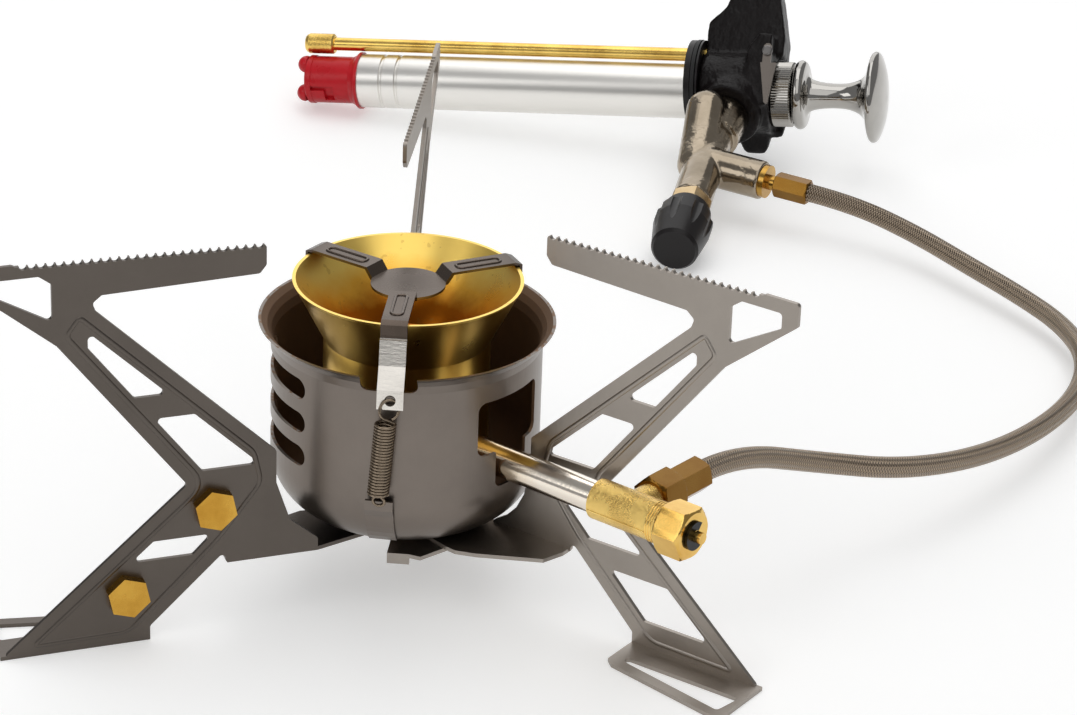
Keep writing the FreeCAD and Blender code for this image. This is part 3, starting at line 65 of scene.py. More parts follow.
# ------------------------------------------------------------------ hose
# Fuel hose in a braided steel jacket.  It leaves the stove's ferrule, lies in one long loop on the
# ground and rises into the ferrule of the pump's valve.
hose_route = [(0.08302, -0.02939, 0.04839), (0.09458, -0.01561, 0.04786), (0.1235, 0.013, 0.031),
              (0.149, 0.024, 0.0235), (0.1755, 0.0465, 0.0162), (0.199, 0.074, 0.0118),
              (0.218, 0.106, 0.009), (0.2268, 0.138, 0.0083), (0.223, 0.164, 0.0083),
              (0.212, 0.186, 0.009), (0.1985, 0.207, 0.010), (0.1815, 0.2325, 0.0118),
              (0.16154, 0.24967, 0.01534), (0.14675, 0.25801, 0.0161)]
hose_radius, hose_long, hose_sides, steps_per_run = 0.00325, 0.381, 32, 24
braid_strands, braid_pitch, braid_depth = 12, 0.0122, 0.0004
# The darker colour goes where the strands dip: painted shade between the strands.
braid_painted_shade, braid_light = (0.05, 0.036, 0.026), (0.44, 0.35, 0.26)


def spline_points(name, corners, steps):
    """Points along a smooth curve that the corners pull on; first and last are on it."""
    curve = bpy.data.curves.new(name + "_route", "CURVE")
    curve.dimensions = "3D"
    curve.resolution_u = steps
    spline = curve.splines.new("NURBS")
    spline.points.add(len(corners) - 1)
    flat = np.ones((len(corners), 4))
    flat[:, :3] = corners
    spline.points.foreach_set("co", flat.ravel())
    spline.order_u = 3
    spline.use_endpoint_u = True
    holder = bpy.data.objects.new(name + "_route", curve)
    line = bpy.data.meshes.new_from_object(holder)
    points = np.empty(len(line.vertices) * 3)
    line.vertices.foreach_get("co", points)
    bpy.data.objects.remove(holder)
    bpy.data.meshes.remove(line)
    return points.reshape(-1, 3)


def unit(vectors):
    """Vectors divided by their lengths."""
    return vectors / np.linalg.norm(vectors, axis=-1, keepdims=True)


def grid_mesh(name, points, wrap_rows=False, wrap_columns=False, caps=False, uv=None, sharp=None):
    """A mesh over a grid of points, rows by columns; a wrapped way closes on itself.

    caps fills the first and last row with a flat lid; uv gives (a value per column, a value per row),
    and the column that closes the wrap gets 1.
    """
    rows, columns = points.shape[:2]
    row = np.arange(rows if wrap_rows else rows - 1)[:, None]
    column = np.arange(columns if wrap_columns else columns - 1)[None, :]
    next_row, next_column = (row + 1) % rows, (column + 1) % columns
    faces = np.stack([row * columns + column, row * columns + next_column, next_row * columns + next_column,
                      next_row * columns + column], axis=-1).reshape(-1, 4).tolist()
    if caps:
        first = np.arange(columns)
        faces.append(first[::-1].tolist())
        faces.append((first + (rows - 1) * columns).tolist())
    mesh = bpy.data.meshes.new(name)
    mesh.from_pydata(points.reshape(-1, 3).tolist(), [], faces)
    if uv is not None:
        along_columns, along_rows = uv
        shape = (row.size, column.size)
        u_here = np.broadcast_to(along_columns[column[0]][None, :], shape)
        u_next = np.broadcast_to(np.append(along_columns[1:], 1.0)[None, :column.size], shape)
        v_here = np.broadcast_to(along_rows[row[:, 0]][:, None], shape)
        v_next = np.broadcast_to(along_rows[next_row[:, 0]][:, None], shape)
        loops = np.stack([u_here, v_here, u_next, v_here, u_next, v_next, u_here, v_next],
                         axis=-1).reshape(-1)
        every = np.zeros(len(mesh.loops) * 2)
        every[:loops.size] = loops
        mesh.uv_layers.new(name="UVMap").data.foreach_set("uv", every)
    mesh.shade_smooth()
    if sharp is not None:
        mesh.set_sharp_from_angle(angle=math.radians(sharp))
    piece = bpy.data.objects.new(name, mesh)
    scene.collection.objects.link(piece)
    return piece


def tube_along(name, path, wide, high=None, rise=(0.0, 0.0, 1.0), sides=12, closed=False, with_uv=False):
    """A tube with an oval section: path + cos t * wide * side + sin t * high * upward.

    side is the path's direction crossed with the rise, and upward completes the frame.
    """
    if closed:
        ahead_now = unit(np.roll(path, -1, axis=0) - np.roll(path, 1, axis=0))
    else:
        ahead_now = unit(np.gradient(path, axis=0))
    side = unit(np.cross(ahead_now, np.asarray(rise, float)))
    upward = np.cross(side, ahead_now)
    turn = np.linspace(0.0, 2.0 * np.pi, sides, endpoint=False)[None, :, None]
    points = path[:, None, :] + wide * np.cos(turn) * side[:, None, :]
    points = points - (high or wide) * np.sin(turn) * upward[:, None, :]
    run = np.concatenate([[0.0], np.cumsum(np.linalg.norm(np.diff(path, axis=0), axis=1))])
    uv = (turn[0, :, 0] / (2.0 * np.pi), run) if with_uv else None
    return grid_mesh(name, points, wrap_rows=closed, wrap_columns=True, caps=not closed, uv=uv, sharp=60)


def finish(name, metallic=0.0, roughness=0.5, colour=(0.5, 0.5, 0.5)):
    """A new material with its main shader; gives (material, node maker, link maker, shader)."""
    material = bpy.data.materials.new(name)
    material.use_nodes = True
    tree = material.node_tree
    shader = tree.nodes["Principled BSDF"]
    shader.inputs["Metallic"].default_value = metallic
    shader.inputs["Roughness"].default_value = roughness
    shader.inputs["Base Color"].default_value = (*colour, 1.0)

    def node(kind, **settings):
        made = tree.nodes.new("ShaderNode" + kind)
        for key, value in settings.items():
            if key in made.bl_rna.properties:
                setattr(made, key, value)
            else:
                made.inputs[key.replace("_", " ")].default_value = value
        return made

    def link(source, target):
        tree.links.new(source, target)
        return target.node

    return material, node, link, shader


def maths(node, link, kind, *values):
    """One sum on sockets or numbers."""
    made = node("Math", operation=kind)
    for slot, value in enumerate(values):
        if isinstance(value, (int, float)):
            made.inputs[slot].default_value = value
        else:
            link(value, made.inputs[slot])
    return made.outputs[0]


def ramp(node, link, source, stops):
    """A colour for each (place, colour) stop along a value."""
    made = node("ValToRGB")
    first, last = made.color_ramp.elements[0], made.color_ramp.elements[1]
    first.position, first.color = stops[0][0], (*stops[0][1], 1.0)
    last.position, last.color = stops[-1][0], (*stops[-1][1], 1.0)
    for place, colour in stops[1:-1]:
        stop = made.color_ramp.elements.new(place)
        stop.color = (*colour, 1.0)
    link(source, made.inputs[0])
    return made.outputs[0]


def blend_colours(node, link, share, first, second):
    """Two colours or colour sockets mixed by a share."""
    made = node("Mix", data_type="RGBA", blend_type="MIX")
    for slot, value in ((0, share), (6, first), (7, second)):
        if isinstance(value, tuple):
            made.inputs[slot].default_value = (*value, 1.0)
        elif isinstance(value, (int, float)):
            made.inputs[slot].default_value = value
        else:
            link(value, made.inputs[slot])
    return made.outputs[2]


def noise(node, link, place, scale, detail=3.0, stretch=None):
    """A cloudy value over the object's own coordinates, drawn out by the stretch."""
    if stretch:
        mapping = node("Mapping")
        mapping.inputs["Scale"].default_value = stretch
        place = link(place, mapping.inputs[0]).outputs[0]
    made = node("TexNoise", Scale=scale, Detail=detail, Roughness=0.6)
    link(place, made.inputs["Vector"])
    return made.outputs[0]


def bumped(node, link, shader, height, strength, distance):
    """Presses a height into the surface."""
    bump = node("Bump", Strength=strength, Distance=distance)
    link(height, bump.inputs["Height"])
    link(bump.outputs[0], shader.inputs["Normal"])


def braided_steel():
    """Two families of strands cross at a slant; on every other crossing the other family is on top.

    a = strands * (u + v / pitch) and b = strands * (u - v / pitch): each whole number of a or b is one
    strand, and the parity of their sum says which one is on top.
    """
    material, node, link, shader = finish("braided_steel", 1.0, 0.3)
    place = link(node("TexCoord").outputs["UV"], node("SeparateXYZ").inputs[0])
    across = maths(node, link, "MULTIPLY", place.outputs[0], float(braid_strands))
    along = maths(node, link, "MULTIPLY", place.outputs[1], braid_strands / braid_pitch)
    a = maths(node, link, "ADD", across, along)
    b = maths(node, link, "SUBTRACT", across, along)
    heights = []
    for one in (a, b):
        wave = maths(node, link, "MULTIPLY", one, math.pi)
        heights.append(maths(node, link, "ABSOLUTE", maths(node, link, "SINE", wave)))
    whole = maths(node, link, "ADD", maths(node, link, "FLOOR", a), maths(node, link, "FLOOR", b))
    parity = maths(node, link, "MODULO", maths(node, link, "ABSOLUTE", whole), 2.0)
    choose = node("Mix", data_type="FLOAT")
    link(parity, choose.inputs[0])
    link(heights[0], choose.inputs[2])
    link(heights[1], choose.inputs[3])
    height = choose.outputs[0]
    # darker towards where the strands dip, lighter on their crowns: painted shade between the strands
    link(ramp(node, link, height, [(0.0, braid_painted_shade), (0.3, braid_painted_shade), (0.75, braid_light)]),
         shader.inputs["Base Color"])
    bumped(node, link, shader, height, 1.0, braid_depth)
    return material


hose_line = spline_points("hose", hose_route, steps_per_run)
hose = tube_along("hose_braid", hose_line, hose_radius, sides=hose_sides, with_uv=True)
hose.data.materials.append(braided_steel())
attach(hose, "stove")
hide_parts("fuel_hose")

# ------------------------------------------------------------------ cup and legs
# The cup, its lug and the three legs are pressed from stainless sheet with a dull satin skin.  Fine
# rolling marks run through it, the flame has browned the cup's inside, and each leg's web has a
# pressed bead that follows its edges.
cup_steel_colour, cup_inside_colour = (0.20, 0.172, 0.150), (0.25, 0.165, 0.112)
cup_radius, cup_lip = 0.039, 0.0035
# The left leg's colour is the legs' steel darkened: painted shade, not a different finish.
leg_colour, shaded_leg_colour = (0.35, 0.315, 0.28), (0.125, 0.108, 0.094)
leg_sheet = 0.0012
bead_half_wide, bead_high = 0.0007, 0.0003
# Each leg: its body, its angle round the Z axis in degrees, its face's distance from that axis, and how
# much farther out its bead lies.
leg_faces = {"leg_right": ("stove", -37.23, 0.0051, 0.0),
             "leg_left": ("leg_left_body", 197.88, 0.0168, 0.0035),
             "leg_back": ("leg_back_body", 82.2, 0.0064, 0.0)}
bead_corners = [(0.0452, 0.0455), (0.0473, 0.0552), (0.0965, 0.1027), (0.1003, 0.0975), (0.0614, 0.0470),
                (0.1116, 0.0032), (0.0840, 0.0036), (0.0576, 0.0295)]
bead_bends = np.array([[0.0025], [0.002], [0.0014], [0.0018], [0.006], [0.002], [0.003], [0.003]])


def faces_inward(node, link, place):
    """1 where the surface faces the Z axis: the level part of its place times its normal is negative."""
    level = link(place, node("Mapping").inputs[0])
    level.inputs["Scale"].default_value = (1.0, 1.0, 0.0)
    facing = node("VectorMath", operation="DOT_PRODUCT")
    link(node("NewGeometry").outputs["Normal"], facing.inputs[0])
    link(level.outputs[0], facing.inputs[1])
    return maths(node, link, "LESS_THAN", facing.outputs["Value"], 0.0)


def satin_steel(name, colour, roughness, grain=(900.0, 900.0, 90.0), spread=0.09, inside=None):
    """Sheet steel: rolling marks along one way, faint clouds in colour and in roughness.

    inside gives a second colour within that radius of the Z axis, for the cup's flame-browned side.
    """
    material, node, link, shader = finish(name, 1.0, roughness)
    place = node("TexCoord").outputs["Object"]
    marks = noise(node, link, place, 1.0, stretch=grain)
    clouds = noise(node, link, place, 34.0, detail=5.0)
    tone = ramp(node, link, clouds, [(0.3, tuple((1.0 - spread) * c for c in colour)),
                                     (0.7, tuple((1.0 + spread) * c for c in colour))])
    if inside:
        radius, browned = inside
        spot = link(place, node("SeparateXYZ").inputs[0])
        level = maths(node, link, "POWER", spot.outputs[0], 2.0)
        level = maths(node, link, "ADD", level, maths(node, link, "POWER", spot.outputs[1], 2.0))
        within = maths(node, link, "LESS_THAN", level, radius * radius)
        inner = faces_inward(node, link, place)
        tone = blend_colours(node, link, maths(node, link, "MULTIPLY", within, inner), tone, browned)
    link(tone, shader.inputs["Base Color"])
    rough = maths(node, link, "MULTIPLY_ADD", clouds, 0.14, roughness - 0.06)
    if inside:
        rough = maths(node, link, "MULTIPLY_ADD", inner, 0.3, rough)
    link(rough, shader.inputs["Roughness"])
    bumped(node, link, shader, marks, 0.2, 0.0002)
    return material


def clothe(material, *names):
    """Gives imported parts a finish."""
    for name in names:
        nodes[name].data.materials.clear()
        nodes[name].data.materials.append(material)


def rounded_loop(corners, bend, steps=7):
    """A closed loop of flat points; each corner C gives (1-t)^2 A + 2t(1-t) C + t^2 B.

    A and B lie on the two runs, one bend away from the corner.
    """
    corner = np.asarray(corners, float)
    before = corner + bend * unit(np.roll(corner, 1, axis=0) - corner)
    after = corner + bend * unit(np.roll(corner, -1, axis=0) - corner)
    t = np.linspace(0.0, 1.0, steps)[None, :, None]
    bends = (1.0 - t) ** 2 * before[:, None] + 2.0 * t * (1.0 - t) * corner[:, None]
    bends = bends + t ** 2 * after[:, None]
    return bends.reshape(-1, corner.shape[1])


def ring_of(points_2d, origin, first, second):
    """Flat points laid in space: origin + x * first + y * second."""
    return np.asarray(origin) + points_2d[:, :1] * np.asarray(first) + points_2d[:, 1:] * np.asarray(second)


cup_steel = satin_steel("cup_steel", cup_steel_colour, 0.32, inside=(cup_radius + cup_lip, cup_inside_colour))
leg_steel = satin_steel("leg_steel", leg_colour, 0.36)
# A darker copy of the legs' steel for the left leg: painted shade.
painted_shade_leg_steel = satin_steel("painted_shade_leg_steel", shaded_leg_colour, 0.36)
clothe(cup_steel, "burner_housing")
clothe(leg_steel, "leg_right", "leg_back")
clothe(painted_shade_leg_steel, "leg_left")
clothe(satin_steel("lug_steel", cup_steel_colour, 0.3), "spring_lug")
for leg_name, (body, angle, offset, shift) in leg_faces.items():
    turn = math.radians(angle)
    reach_way, face_way = (math.cos(turn), math.sin(turn), 0.0), (-math.sin(turn), math.cos(turn), 0.0)
    loop = rounded_loop(np.asarray(bead_corners) + (shift, 0.0), bead_bends)
    for side_name, face in (("inner", offset), ("outer", offset + leg_sheet)):
        path = ring_of(loop, np.asarray(face_way) * face, reach_way, (0.0, 0.0, 1.0))
        bead = tube_along(leg_name + "_bead_" + side_name, path, bead_half_wide, bead_high, rise=face_way,
                          sides=8, closed=True)
        bead.data.materials.append(nodes[leg_name].data.materials[0])
        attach(bead, body)

# ------------------------------------------------------------------ burner
# Spun brass bell on the mixing tube.  The bowl is golden at its rim and goes deep orange towards
# the gas hole, a painted reflection; the body's outer face below the rim is darker and duller.
bell_rim_height, bowl_floor_height, bell_rim_thick = 0.0946, 0.0735, 0.0008
bell_gold, bell_gold_deep, bell_reflected_orange = (1.0, 0.70, 0.17), (0.90, 0.47, 0.06), (0.48, 0.14, 0.008)
bell_dull, bell_soot = (0.66, 0.42, 0.09), (0.42, 0.22, 0.05)


def brass_with_painted_reflection():
    """Brass tinted by height, its deep orange low in the bowl a painted reflection: share = (height - bowl
    floor) / (rim - bowl floor), moved by clouds.
    """
    material, node, link, shader = finish("bell_brass", 1.0, 0.3)
    place = node("TexCoord").outputs["Object"]
    height = link(place, node("SeparateXYZ").inputs[0]).outputs[2]
    share = maths(node, link, "SUBTRACT", height, bowl_floor_height)
    share = maths(node, link, "DIVIDE", share, bell_rim_height - bowl_floor_height)
    clouds = noise(node, link, place, 70.0, detail=5.0)
    share = maths(node, link, "ADD", share, maths(node, link, "MULTIPLY_ADD", clouds, 0.5, -0.25))
    # deep orange low in the bowl: painted reflection
    tone = ramp(node, link, share, [(0.0, bell_reflected_orange), (0.25, bell_reflected_orange), (0.5, bell_gold_deep),
                                    (0.78, bell_gold), (1.0, bell_gold)])
    spots = noise(node, link, place, 230.0, detail=2.0)
    spots = maths(node, link, "GREATER_THAN", spots, 0.68)
    tone = blend_colours(node, link, maths(node, link, "MULTIPLY", spots, 0.3), tone, bell_soot)
    outer = maths(node, link, "SUBTRACT", 1.0, faces_inward(node, link, place))
    below_rim = maths(node, link, "LESS_THAN", height, bell_rim_height - bell_rim_thick)
    outer = maths(node, link, "MULTIPLY", outer, below_rim)
    tone = blend_colours(node, link, outer, tone, bell_dull)
    link(tone, shader.inputs["Base Color"])
    spin = noise(node, link, place, 1.0, stretch=(60.0, 60.0, 2600.0))
    link(maths(node, link, "MULTIPLY_ADD", clouds, 0.2, 0.2), shader.inputs["Roughness"])
    bumped(node, link, shader, spin, 0.12, 0.0002)
    return material


clothe(brass_with_painted_reflection(), "burner_bell")

# ------------------------------------------------------------------ flame plate and strap
# Steel disc on three stepped arms, browned by the flame; each arm has a pressed oval rib along its top.
# A bright strap welded to the front arm reaches down to the spring.
plate_steel_colour, plate_browned_colour = (0.125, 0.098, 0.08), (0.08, 0.062, 0.05)
strap_colour = (0.80, 0.76, 0.70)
arm_top_height, tail_from_height = 0.0959, 0.0912
arm_reach = 0.04
rib_from, rib_to, rib_half_wide = 0.0150, 0.0285, 0.0016
rib_wire_half_wide, rib_wire_high, rib_bend_share = 0.0005, 0.0004, 0.98
clip_angle = math.radians(-97.2)


def browned_sheet():
    """Steel sheet darkened towards the arms' ends: share = distance from the Z axis / arm reach.

    Below the arms the front one's tail is as bright as the strap that is welded to it.
    """
    material, node, link, shader = finish("browned_sheet", 1.0, 0.3)
    place = node("TexCoord").outputs["Object"]
    flat = link(place, node("Mapping").inputs[0])
    flat.inputs["Scale"].default_value = (1.0, 1.0, 0.0)
    reach = link(flat.outputs[0], node("VectorMath", operation="LENGTH").inputs[0]).outputs["Value"]
    clouds = noise(node, link, place, 90.0, detail=5.0)
    share = maths(node, link, "MULTIPLY_ADD", clouds, 0.008, reach)
    tone = ramp(node, link, maths(node, link, "DIVIDE", share, arm_reach),
                [(0.0, plate_browned_colour), (0.36, plate_steel_colour), (0.8, plate_steel_colour),
                 (0.98, plate_browned_colour)])
    height = link(place, node("SeparateXYZ").inputs[0]).outputs[2]
    tail = maths(node, link, "LESS_THAN", height, tail_from_height)
    tone = blend_colours(node, link, tail, tone, strap_colour)
    link(tone, shader.inputs["Base Color"])
    link(maths(node, link, "MULTIPLY_ADD", clouds, 0.25, 0.14), shader.inputs["Roughness"])
    bumped(node, link, shader, noise(node, link, place, 300.0), 0.05, 0.0002)
    return material


plate_steel = browned_sheet()
clothe(plate_steel, "flame_plate")
strap_steel = satin_steel("strap_steel", strap_colour, 0.2, grain=(300.0, 300.0, 1500.0), spread=0.2)
clothe(strap_steel, "spring_strap")
for arm in range(3):
    turn = clip_angle + math.radians(120.0 * arm)
    out, across = (math.cos(turn), math.sin(turn), 0.0), (-math.sin(turn), math.cos(turn), 0.0)
    oval = rounded_loop([(rib_from, -rib_half_wide), (rib_to, -rib_half_wide), (rib_to, rib_half_wide),
                         (rib_from, rib_half_wide)], rib_half_wide * rib_bend_share)
    rib = tube_along("arm_rib_%d" % arm, ring_of(oval, (0.0, 0.0, arm_top_height), out, across),
                     rib_wire_half_wide, rib_wire_high, sides=8, closed=True)
    rib.data.materials.append(plate_steel)
    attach(rib, "stove")

# ------------------------------------------------------------------ pull spring
# Wound steel spring between the strap and the cup's lug.  The wire is bent into an open ring at each
# end: the upper one goes through the strap's hole, the lower one hooks the lug.
spring_colour = (0.26, 0.205, 0.15)
spring_foot = np.array([-0.007964, -0.041747, 0.0468])
spring_way = unit(np.array([0.07881, -0.01333, 0.9968]))
spring_long, spring_coils, spring_radius, spring_wire = 0.02225, 24, 0.00275, 0.00042
points_per_coil = 20
hook_share, hook_past_hole, hook_half_deep = 0.44, 0.0003, 0.0006
hook_from, hook_to, hook_step = 10.0, 341.0, 15.0
strap_hole_spot = np.array([-0.00505, -0.0402, 0.0751])
lug_hole_spot = np.array([-0.0079, -0.0408, 0.0431])
spring_out = unit(np.cross(spring_way, (1.0, 0.0, 0.0)))
spring_side = np.cross(spring_out, spring_way)
steps = np.linspace(0.0, 1.0, spring_coils * points_per_coil + 1)[:, None]
turn = 2.0 * np.pi * spring_coils * steps
coil_line = (spring_foot + spring_way * spring_long * steps
             + spring_radius * (np.cos(turn) * spring_side + np.sin(turn) * spring_out))
coil = tube_along("pull_spring", coil_line, spring_wire, rise=spring_way, sides=8)
spring_steel = satin_steel("spring_wire_steel", spring_colour, 0.25, spread=0.12)
coil.data.materials.append(spring_steel)
hook_pieces = [coil]
for hook_name, end, spot, sign in (("pull_spring_top_hook", coil_line[-1], strap_hole_spot, 1.0),
                                   ("pull_spring_low_hook", coil_line[0], lug_hole_spot, -1.0)):
    lift = spring_way * sign
    loop = hook_share * float(np.dot(spot - end, lift))
    lean = float(np.dot(spot - end, spring_out))
    around = np.radians(np.arange(hook_from, hook_to, hook_step))[:, None]
    ring = (spot - lift * (loop - hook_past_hole) - lift * loop * np.cos(around)
            - spring_side * sign * loop * np.sin(around)
            - spring_out * (hook_half_deep * np.sin(around) + 0.5 * lean * (1.0 + np.cos(around))))
    hook = tube_along(hook_name, np.vstack([end[None, :], ring]), spring_wire, rise=spring_out, sides=8)
    hook.data.materials.append(spring_steel)
    hook_pieces.append(hook)
for piece in hook_pieces:
    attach(piece, "stove")
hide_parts("plate_spring")

# ------------------------------------------------------------------ mixing tube and jet block
# Steel tube, straw-coloured near the cup, part heat tint and part painted reflection of the brass, into a
# brass casting with a rough skin and a parting seam.
# Turned hexagon nuts with chamfered ends close the block and hold the hose's brass ferrules.
tube_colour, tube_straw_and_reflection = (0.95, 0.87, 0.76), (0.74, 0.54, 0.27)
cast_gold, turned_gold, bronze_brown = (1.0, 0.70, 0.22), (0.78, 0.51, 0.14), (0.225, 0.115, 0.022)
feed_start, feed_way = np.array([0.0, 0.0, 0.04875]), np.array([0.75471, -0.65606, 0.0])
tube_length = 0.09
casting_grain, turned_grain = 1300.0, 2200.0
chamfer_share, chamfer_slope = 0.93, math.tan(math.radians(60.0))


def tinted_tube_with_painted_reflection():
    """Bright tube whose straw colour, part heat tint and part painted reflection of the brass, fades along
    its axis: share = distance along the feed / tube length.
    """
    material, node, link, shader = finish("tube_steel", 1.0, 0.16)
    place = node("TexCoord").outputs["Object"]
    far = link(place, node("VectorMath", operation="DOT_PRODUCT").inputs[0])
    far.inputs[1].default_value = tuple(feed_way)
    clouds = noise(node, link, place, 120.0, detail=4.0)
    share = maths(node, link, "MULTIPLY_ADD", clouds, 0.02, far.outputs["Value"])
    # straw near the cup: heat tint and painted reflection of the brass
    tone = ramp(node, link, maths(node, link, "DIVIDE", share, tube_length),
                [(0.35, tube_straw_and_reflection), (0.72, tube_colour), (1.0, tube_colour)])
    link(tone, shader.inputs["Base Color"])
    bumped(node, link, shader, noise(node, link, place, 800.0), 0.05, 0.0003)
    return material


def brass(name, colour, roughness, cast=0.0, dark=0.72):
    """Brass with clouds of tarnish; cast raises a pitted casting skin."""
    material, node, link, shader = finish(name, 1.0, roughness)
    place = node("TexCoord").outputs["Object"]
    clouds = noise(node, link, place, 90.0, detail=5.0)
    tarnish = tuple(c * k for c, k in zip(colour, (dark, dark * 0.88, dark * 0.7)))
    link(ramp(node, link, clouds, [(0.28, tarnish), (0.6, colour)]), shader.inputs["Base Color"])
    link(maths(node, link, "MULTIPLY_ADD", clouds, 0.16, roughness - 0.07), shader.inputs["Roughness"])
    skin = noise(node, link, place, casting_grain if cast else turned_grain, detail=5.0)
    bumped(node, link, shader, skin, cast or 0.05, 0.0005 if cast else 0.0002)
    return material


def turned_frame(base, x_way, z_way):
    """The origin and three directions of a piece whose own Z axis is z_way."""
    x_way, z_way = np.asarray(x_way, float), np.asarray(z_way, float)
    return np.asarray(base, float), x_way, np.cross(z_way, x_way), z_way


def swept_round(name, radii, heights, placing, wrap=False, sharp=28):
    """A piece swept round its axis: radii is a grid (a row per height, a column per turn)."""
    base, x_way, y_way, z_way = placing
    turn = np.linspace(0.0, 2.0 * np.pi, radii.shape[1], endpoint=False)[None, :, None]
    level = np.asarray(heights, float)[:, None, None]
    points = base + radii[:, :, None] * (np.cos(turn) * x_way + np.sin(turn) * y_way) + level * z_way
    return grid_mesh(name, points, wrap_rows=wrap, wrap_columns=True, caps=not wrap, sharp=sharp)


def hex_nut(name, across, bore, long, placing):
    """A hexagon bar with turned ends and a bore.

    radius = the smaller of across / 2 / cos(turn from the flat's middle) and the end cone's
    across / 2 * share + depth * tan 60.
    """
    corner = across / math.sqrt(3.0)
    cone_deep = (corner - across / 2.0 * chamfer_share) / chamfer_slope
    depth = np.linspace(0.0, cone_deep, 5)
    heights = np.concatenate([[0.0], depth, long - depth[::-1], [long]])
    turn = np.linspace(0.0, 2.0 * np.pi, 72, endpoint=False)
    flats = across / 2.0 / np.cos((turn % (np.pi / 3.0)) - np.pi / 6.0)
    cone = across / 2.0 * chamfer_share + depth * chamfer_slope
    low = np.minimum(flats[None, :], cone[:, None])
    wall = np.full((1, turn.size), bore)
    radii = np.concatenate([wall, low, low[::-1], wall])
    return swept_round(name, radii, heights, placing, wrap=True)


clothe(tinted_tube_with_painted_reflection(), "mixing_tube")
clothe(satin_steel("inner_tube_steel", tube_straw_and_reflection, 0.3), "vaporiser_tube")
clothe(brass("cast_brass", cast_gold, 0.26, cast=0.55, dark=0.6), "jet_block", "jet")
clothe(brass("pin_brass", turned_gold, 0.2), "block_pin")
side_x, side_z = (0.73868, -0.62919, -0.24182), (0.6425, 0.76571, -0.02967)
port_x, port_z = (0.2076, 0.44679, -0.87022), (0.87022, -0.49066, -0.04432)
stem_x, stem_z = (0.93088, -0.27232, 0.24352), (-0.24352, -0.95944, -0.14202)
nut_brass = brass("nut_brass", turned_gold, 0.13, dark=0.85)
ferrule_brass = brass("ferrule_brass", bronze_brown, 0.2, dark=0.8)
nickel_gold = brass("gland_brass", (0.62, 0.47, 0.27), 0.16, dark=0.8)
# Each nut: the solid it stands for, slot, metal, size across flats, bore radius, length, place and ways.
for node_name, slot_name, metal, across, bore, long, placing in (
        ("block_nut", "cast_brass", nut_brass, 0.014, 0.00175, 0.0094,
         turned_frame((0.07132, -0.061998, 0.04875), (0.27726, 0.31895, -0.90631), (0.75471, -0.65606, 0.0))),
        ("elbow_nut", "dark_brass", ferrule_brass, 0.0114, 0.003, 0.0099,
         turned_frame((0.068046, -0.047234, 0.049083), side_x, side_z)),
        ("stove_ferrule", "dark_brass", ferrule_brass, 0.0093, 0.00225, 0.0134,
         turned_frame((0.074407, -0.039653, 0.048789), side_x, side_z)),
        ("pump_ferrule", "dark_brass", ferrule_brass, 0.008, 0.00225, 0.013,
         turned_frame((0.135438, 0.264388, 0.016672), port_x, port_z)),
        ("gland_nut", "plated", nickel_gold, 0.0135, 0.00205, 0.0072,
         turned_frame((0.104061, 0.252467, 0.014101), stem_x, stem_z))):
    nut = hex_nut(node_name + "_turned", across, bore, long, placing)
    nut.data.materials.append(metal)
    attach(nut, "stove")
    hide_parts(node_name)
block_radius, block_thread_from, block_thread_pitch, thread_wire = 0.0059, 0.0915, 0.00085, 0.00022
seam_from, seam_to, seam_turn, seam_half_wide, seam_high = 0.0713, 0.0912, math.radians(12.0), 0.0003, 0.00022
thread_metal = brass("thread_brass", cast_gold, 0.2)
feed_side, upward = np.array([0.65606, 0.75471, 0.0]), np.array([0.0, 0.0, 1.0])
seam_way = -feed_side * math.cos(seam_turn) - upward * math.sin(seam_turn)
seam_line = feed_start + feed_way * np.linspace(seam_from, seam_to, 12)[:, None] + seam_way * block_radius
seam = tube_along("block_seam", seam_line, seam_half_wide, seam_high, rise=seam_way, sides=8)
seam.data.materials.append(thread_metal)
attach(seam, "stove")
for ring in range(3):
    middle = feed_start + feed_way * (block_thread_from + ring * block_thread_pitch)
    round_it = np.linspace(0.0, 2.0 * np.pi, 48, endpoint=False)[:, None]
    line = middle + block_radius * (np.cos(round_it) * feed_side + np.sin(round_it) * upward)
    thread = tube_along("block_thread_%d" % ring, line, thread_wire, rise=feed_way, sides=6, closed=True)
    thread.data.materials.append(thread_metal)
    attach(thread, "stove")

# ------------------------------------------------------------------ small brass and hub
# Two spare jets with turned heads sit in holes of the left leg; the rivet and washer at the hub and
# the pump's inner steel parts are plain bright steel.
clothe(brass("jet_brass", (0.67, 0.385, 0.066), 0.26, dark=0.75), "spare_jet_upper", "spare_jet_lower")
clothe(brass("port_brass", (0.55, 0.33, 0.08), 0.22), "hose_nipple", "port_ring")
clothe(satin_steel("small_steel", (0.42, 0.41, 0.40), 0.3), "hub_rivet", "hub_washer", "piston",
       "piston_screw", "valve_spindle")

# ------------------------------------------------------------------ pump barrel and foot
# Polished barrel of drawn aluminium with two rolled grooves, the brass pickup tube beside it with its
# filter, and the red plastic cap that plugs the foot.
pump_heading = math.radians(16.45)
barrel_colour = (0.84, 0.82, 0.78)
pickup_gold = (0.95, 0.66, 0.18)
red_cap_colour, red_cap_shade = (0.62, 0.012, 0.022), (0.50, 0.006, 0.012)


def drawn_metal(name, colour, roughness, shade=0.9):
    """Drawn tube: faint lines along the pump's axis and slow changes of tone."""
    material, node, link, shader = finish(name, 1.0, roughness)
    place = node("TexCoord").outputs["Object"]
    turned_place = node("Mapping")
    turned_place.inputs["Rotation"].default_value = (0.0, 0.0, pump_heading)
    spot = link(place, turned_place.inputs[0]).outputs[0]
    clouds = noise(node, link, spot, 1.0, stretch=(18.0, 90.0, 90.0))
    link(ramp(node, link, clouds, [(0.3, tuple(shade * c for c in colour)), (0.65, colour)]),
         shader.inputs["Base Color"])
    lines = noise(node, link, spot, 1.0, stretch=(40.0, 1800.0, 1800.0))
    bumped(node, link, shader, lines, 0.06, 0.0001)
    return material


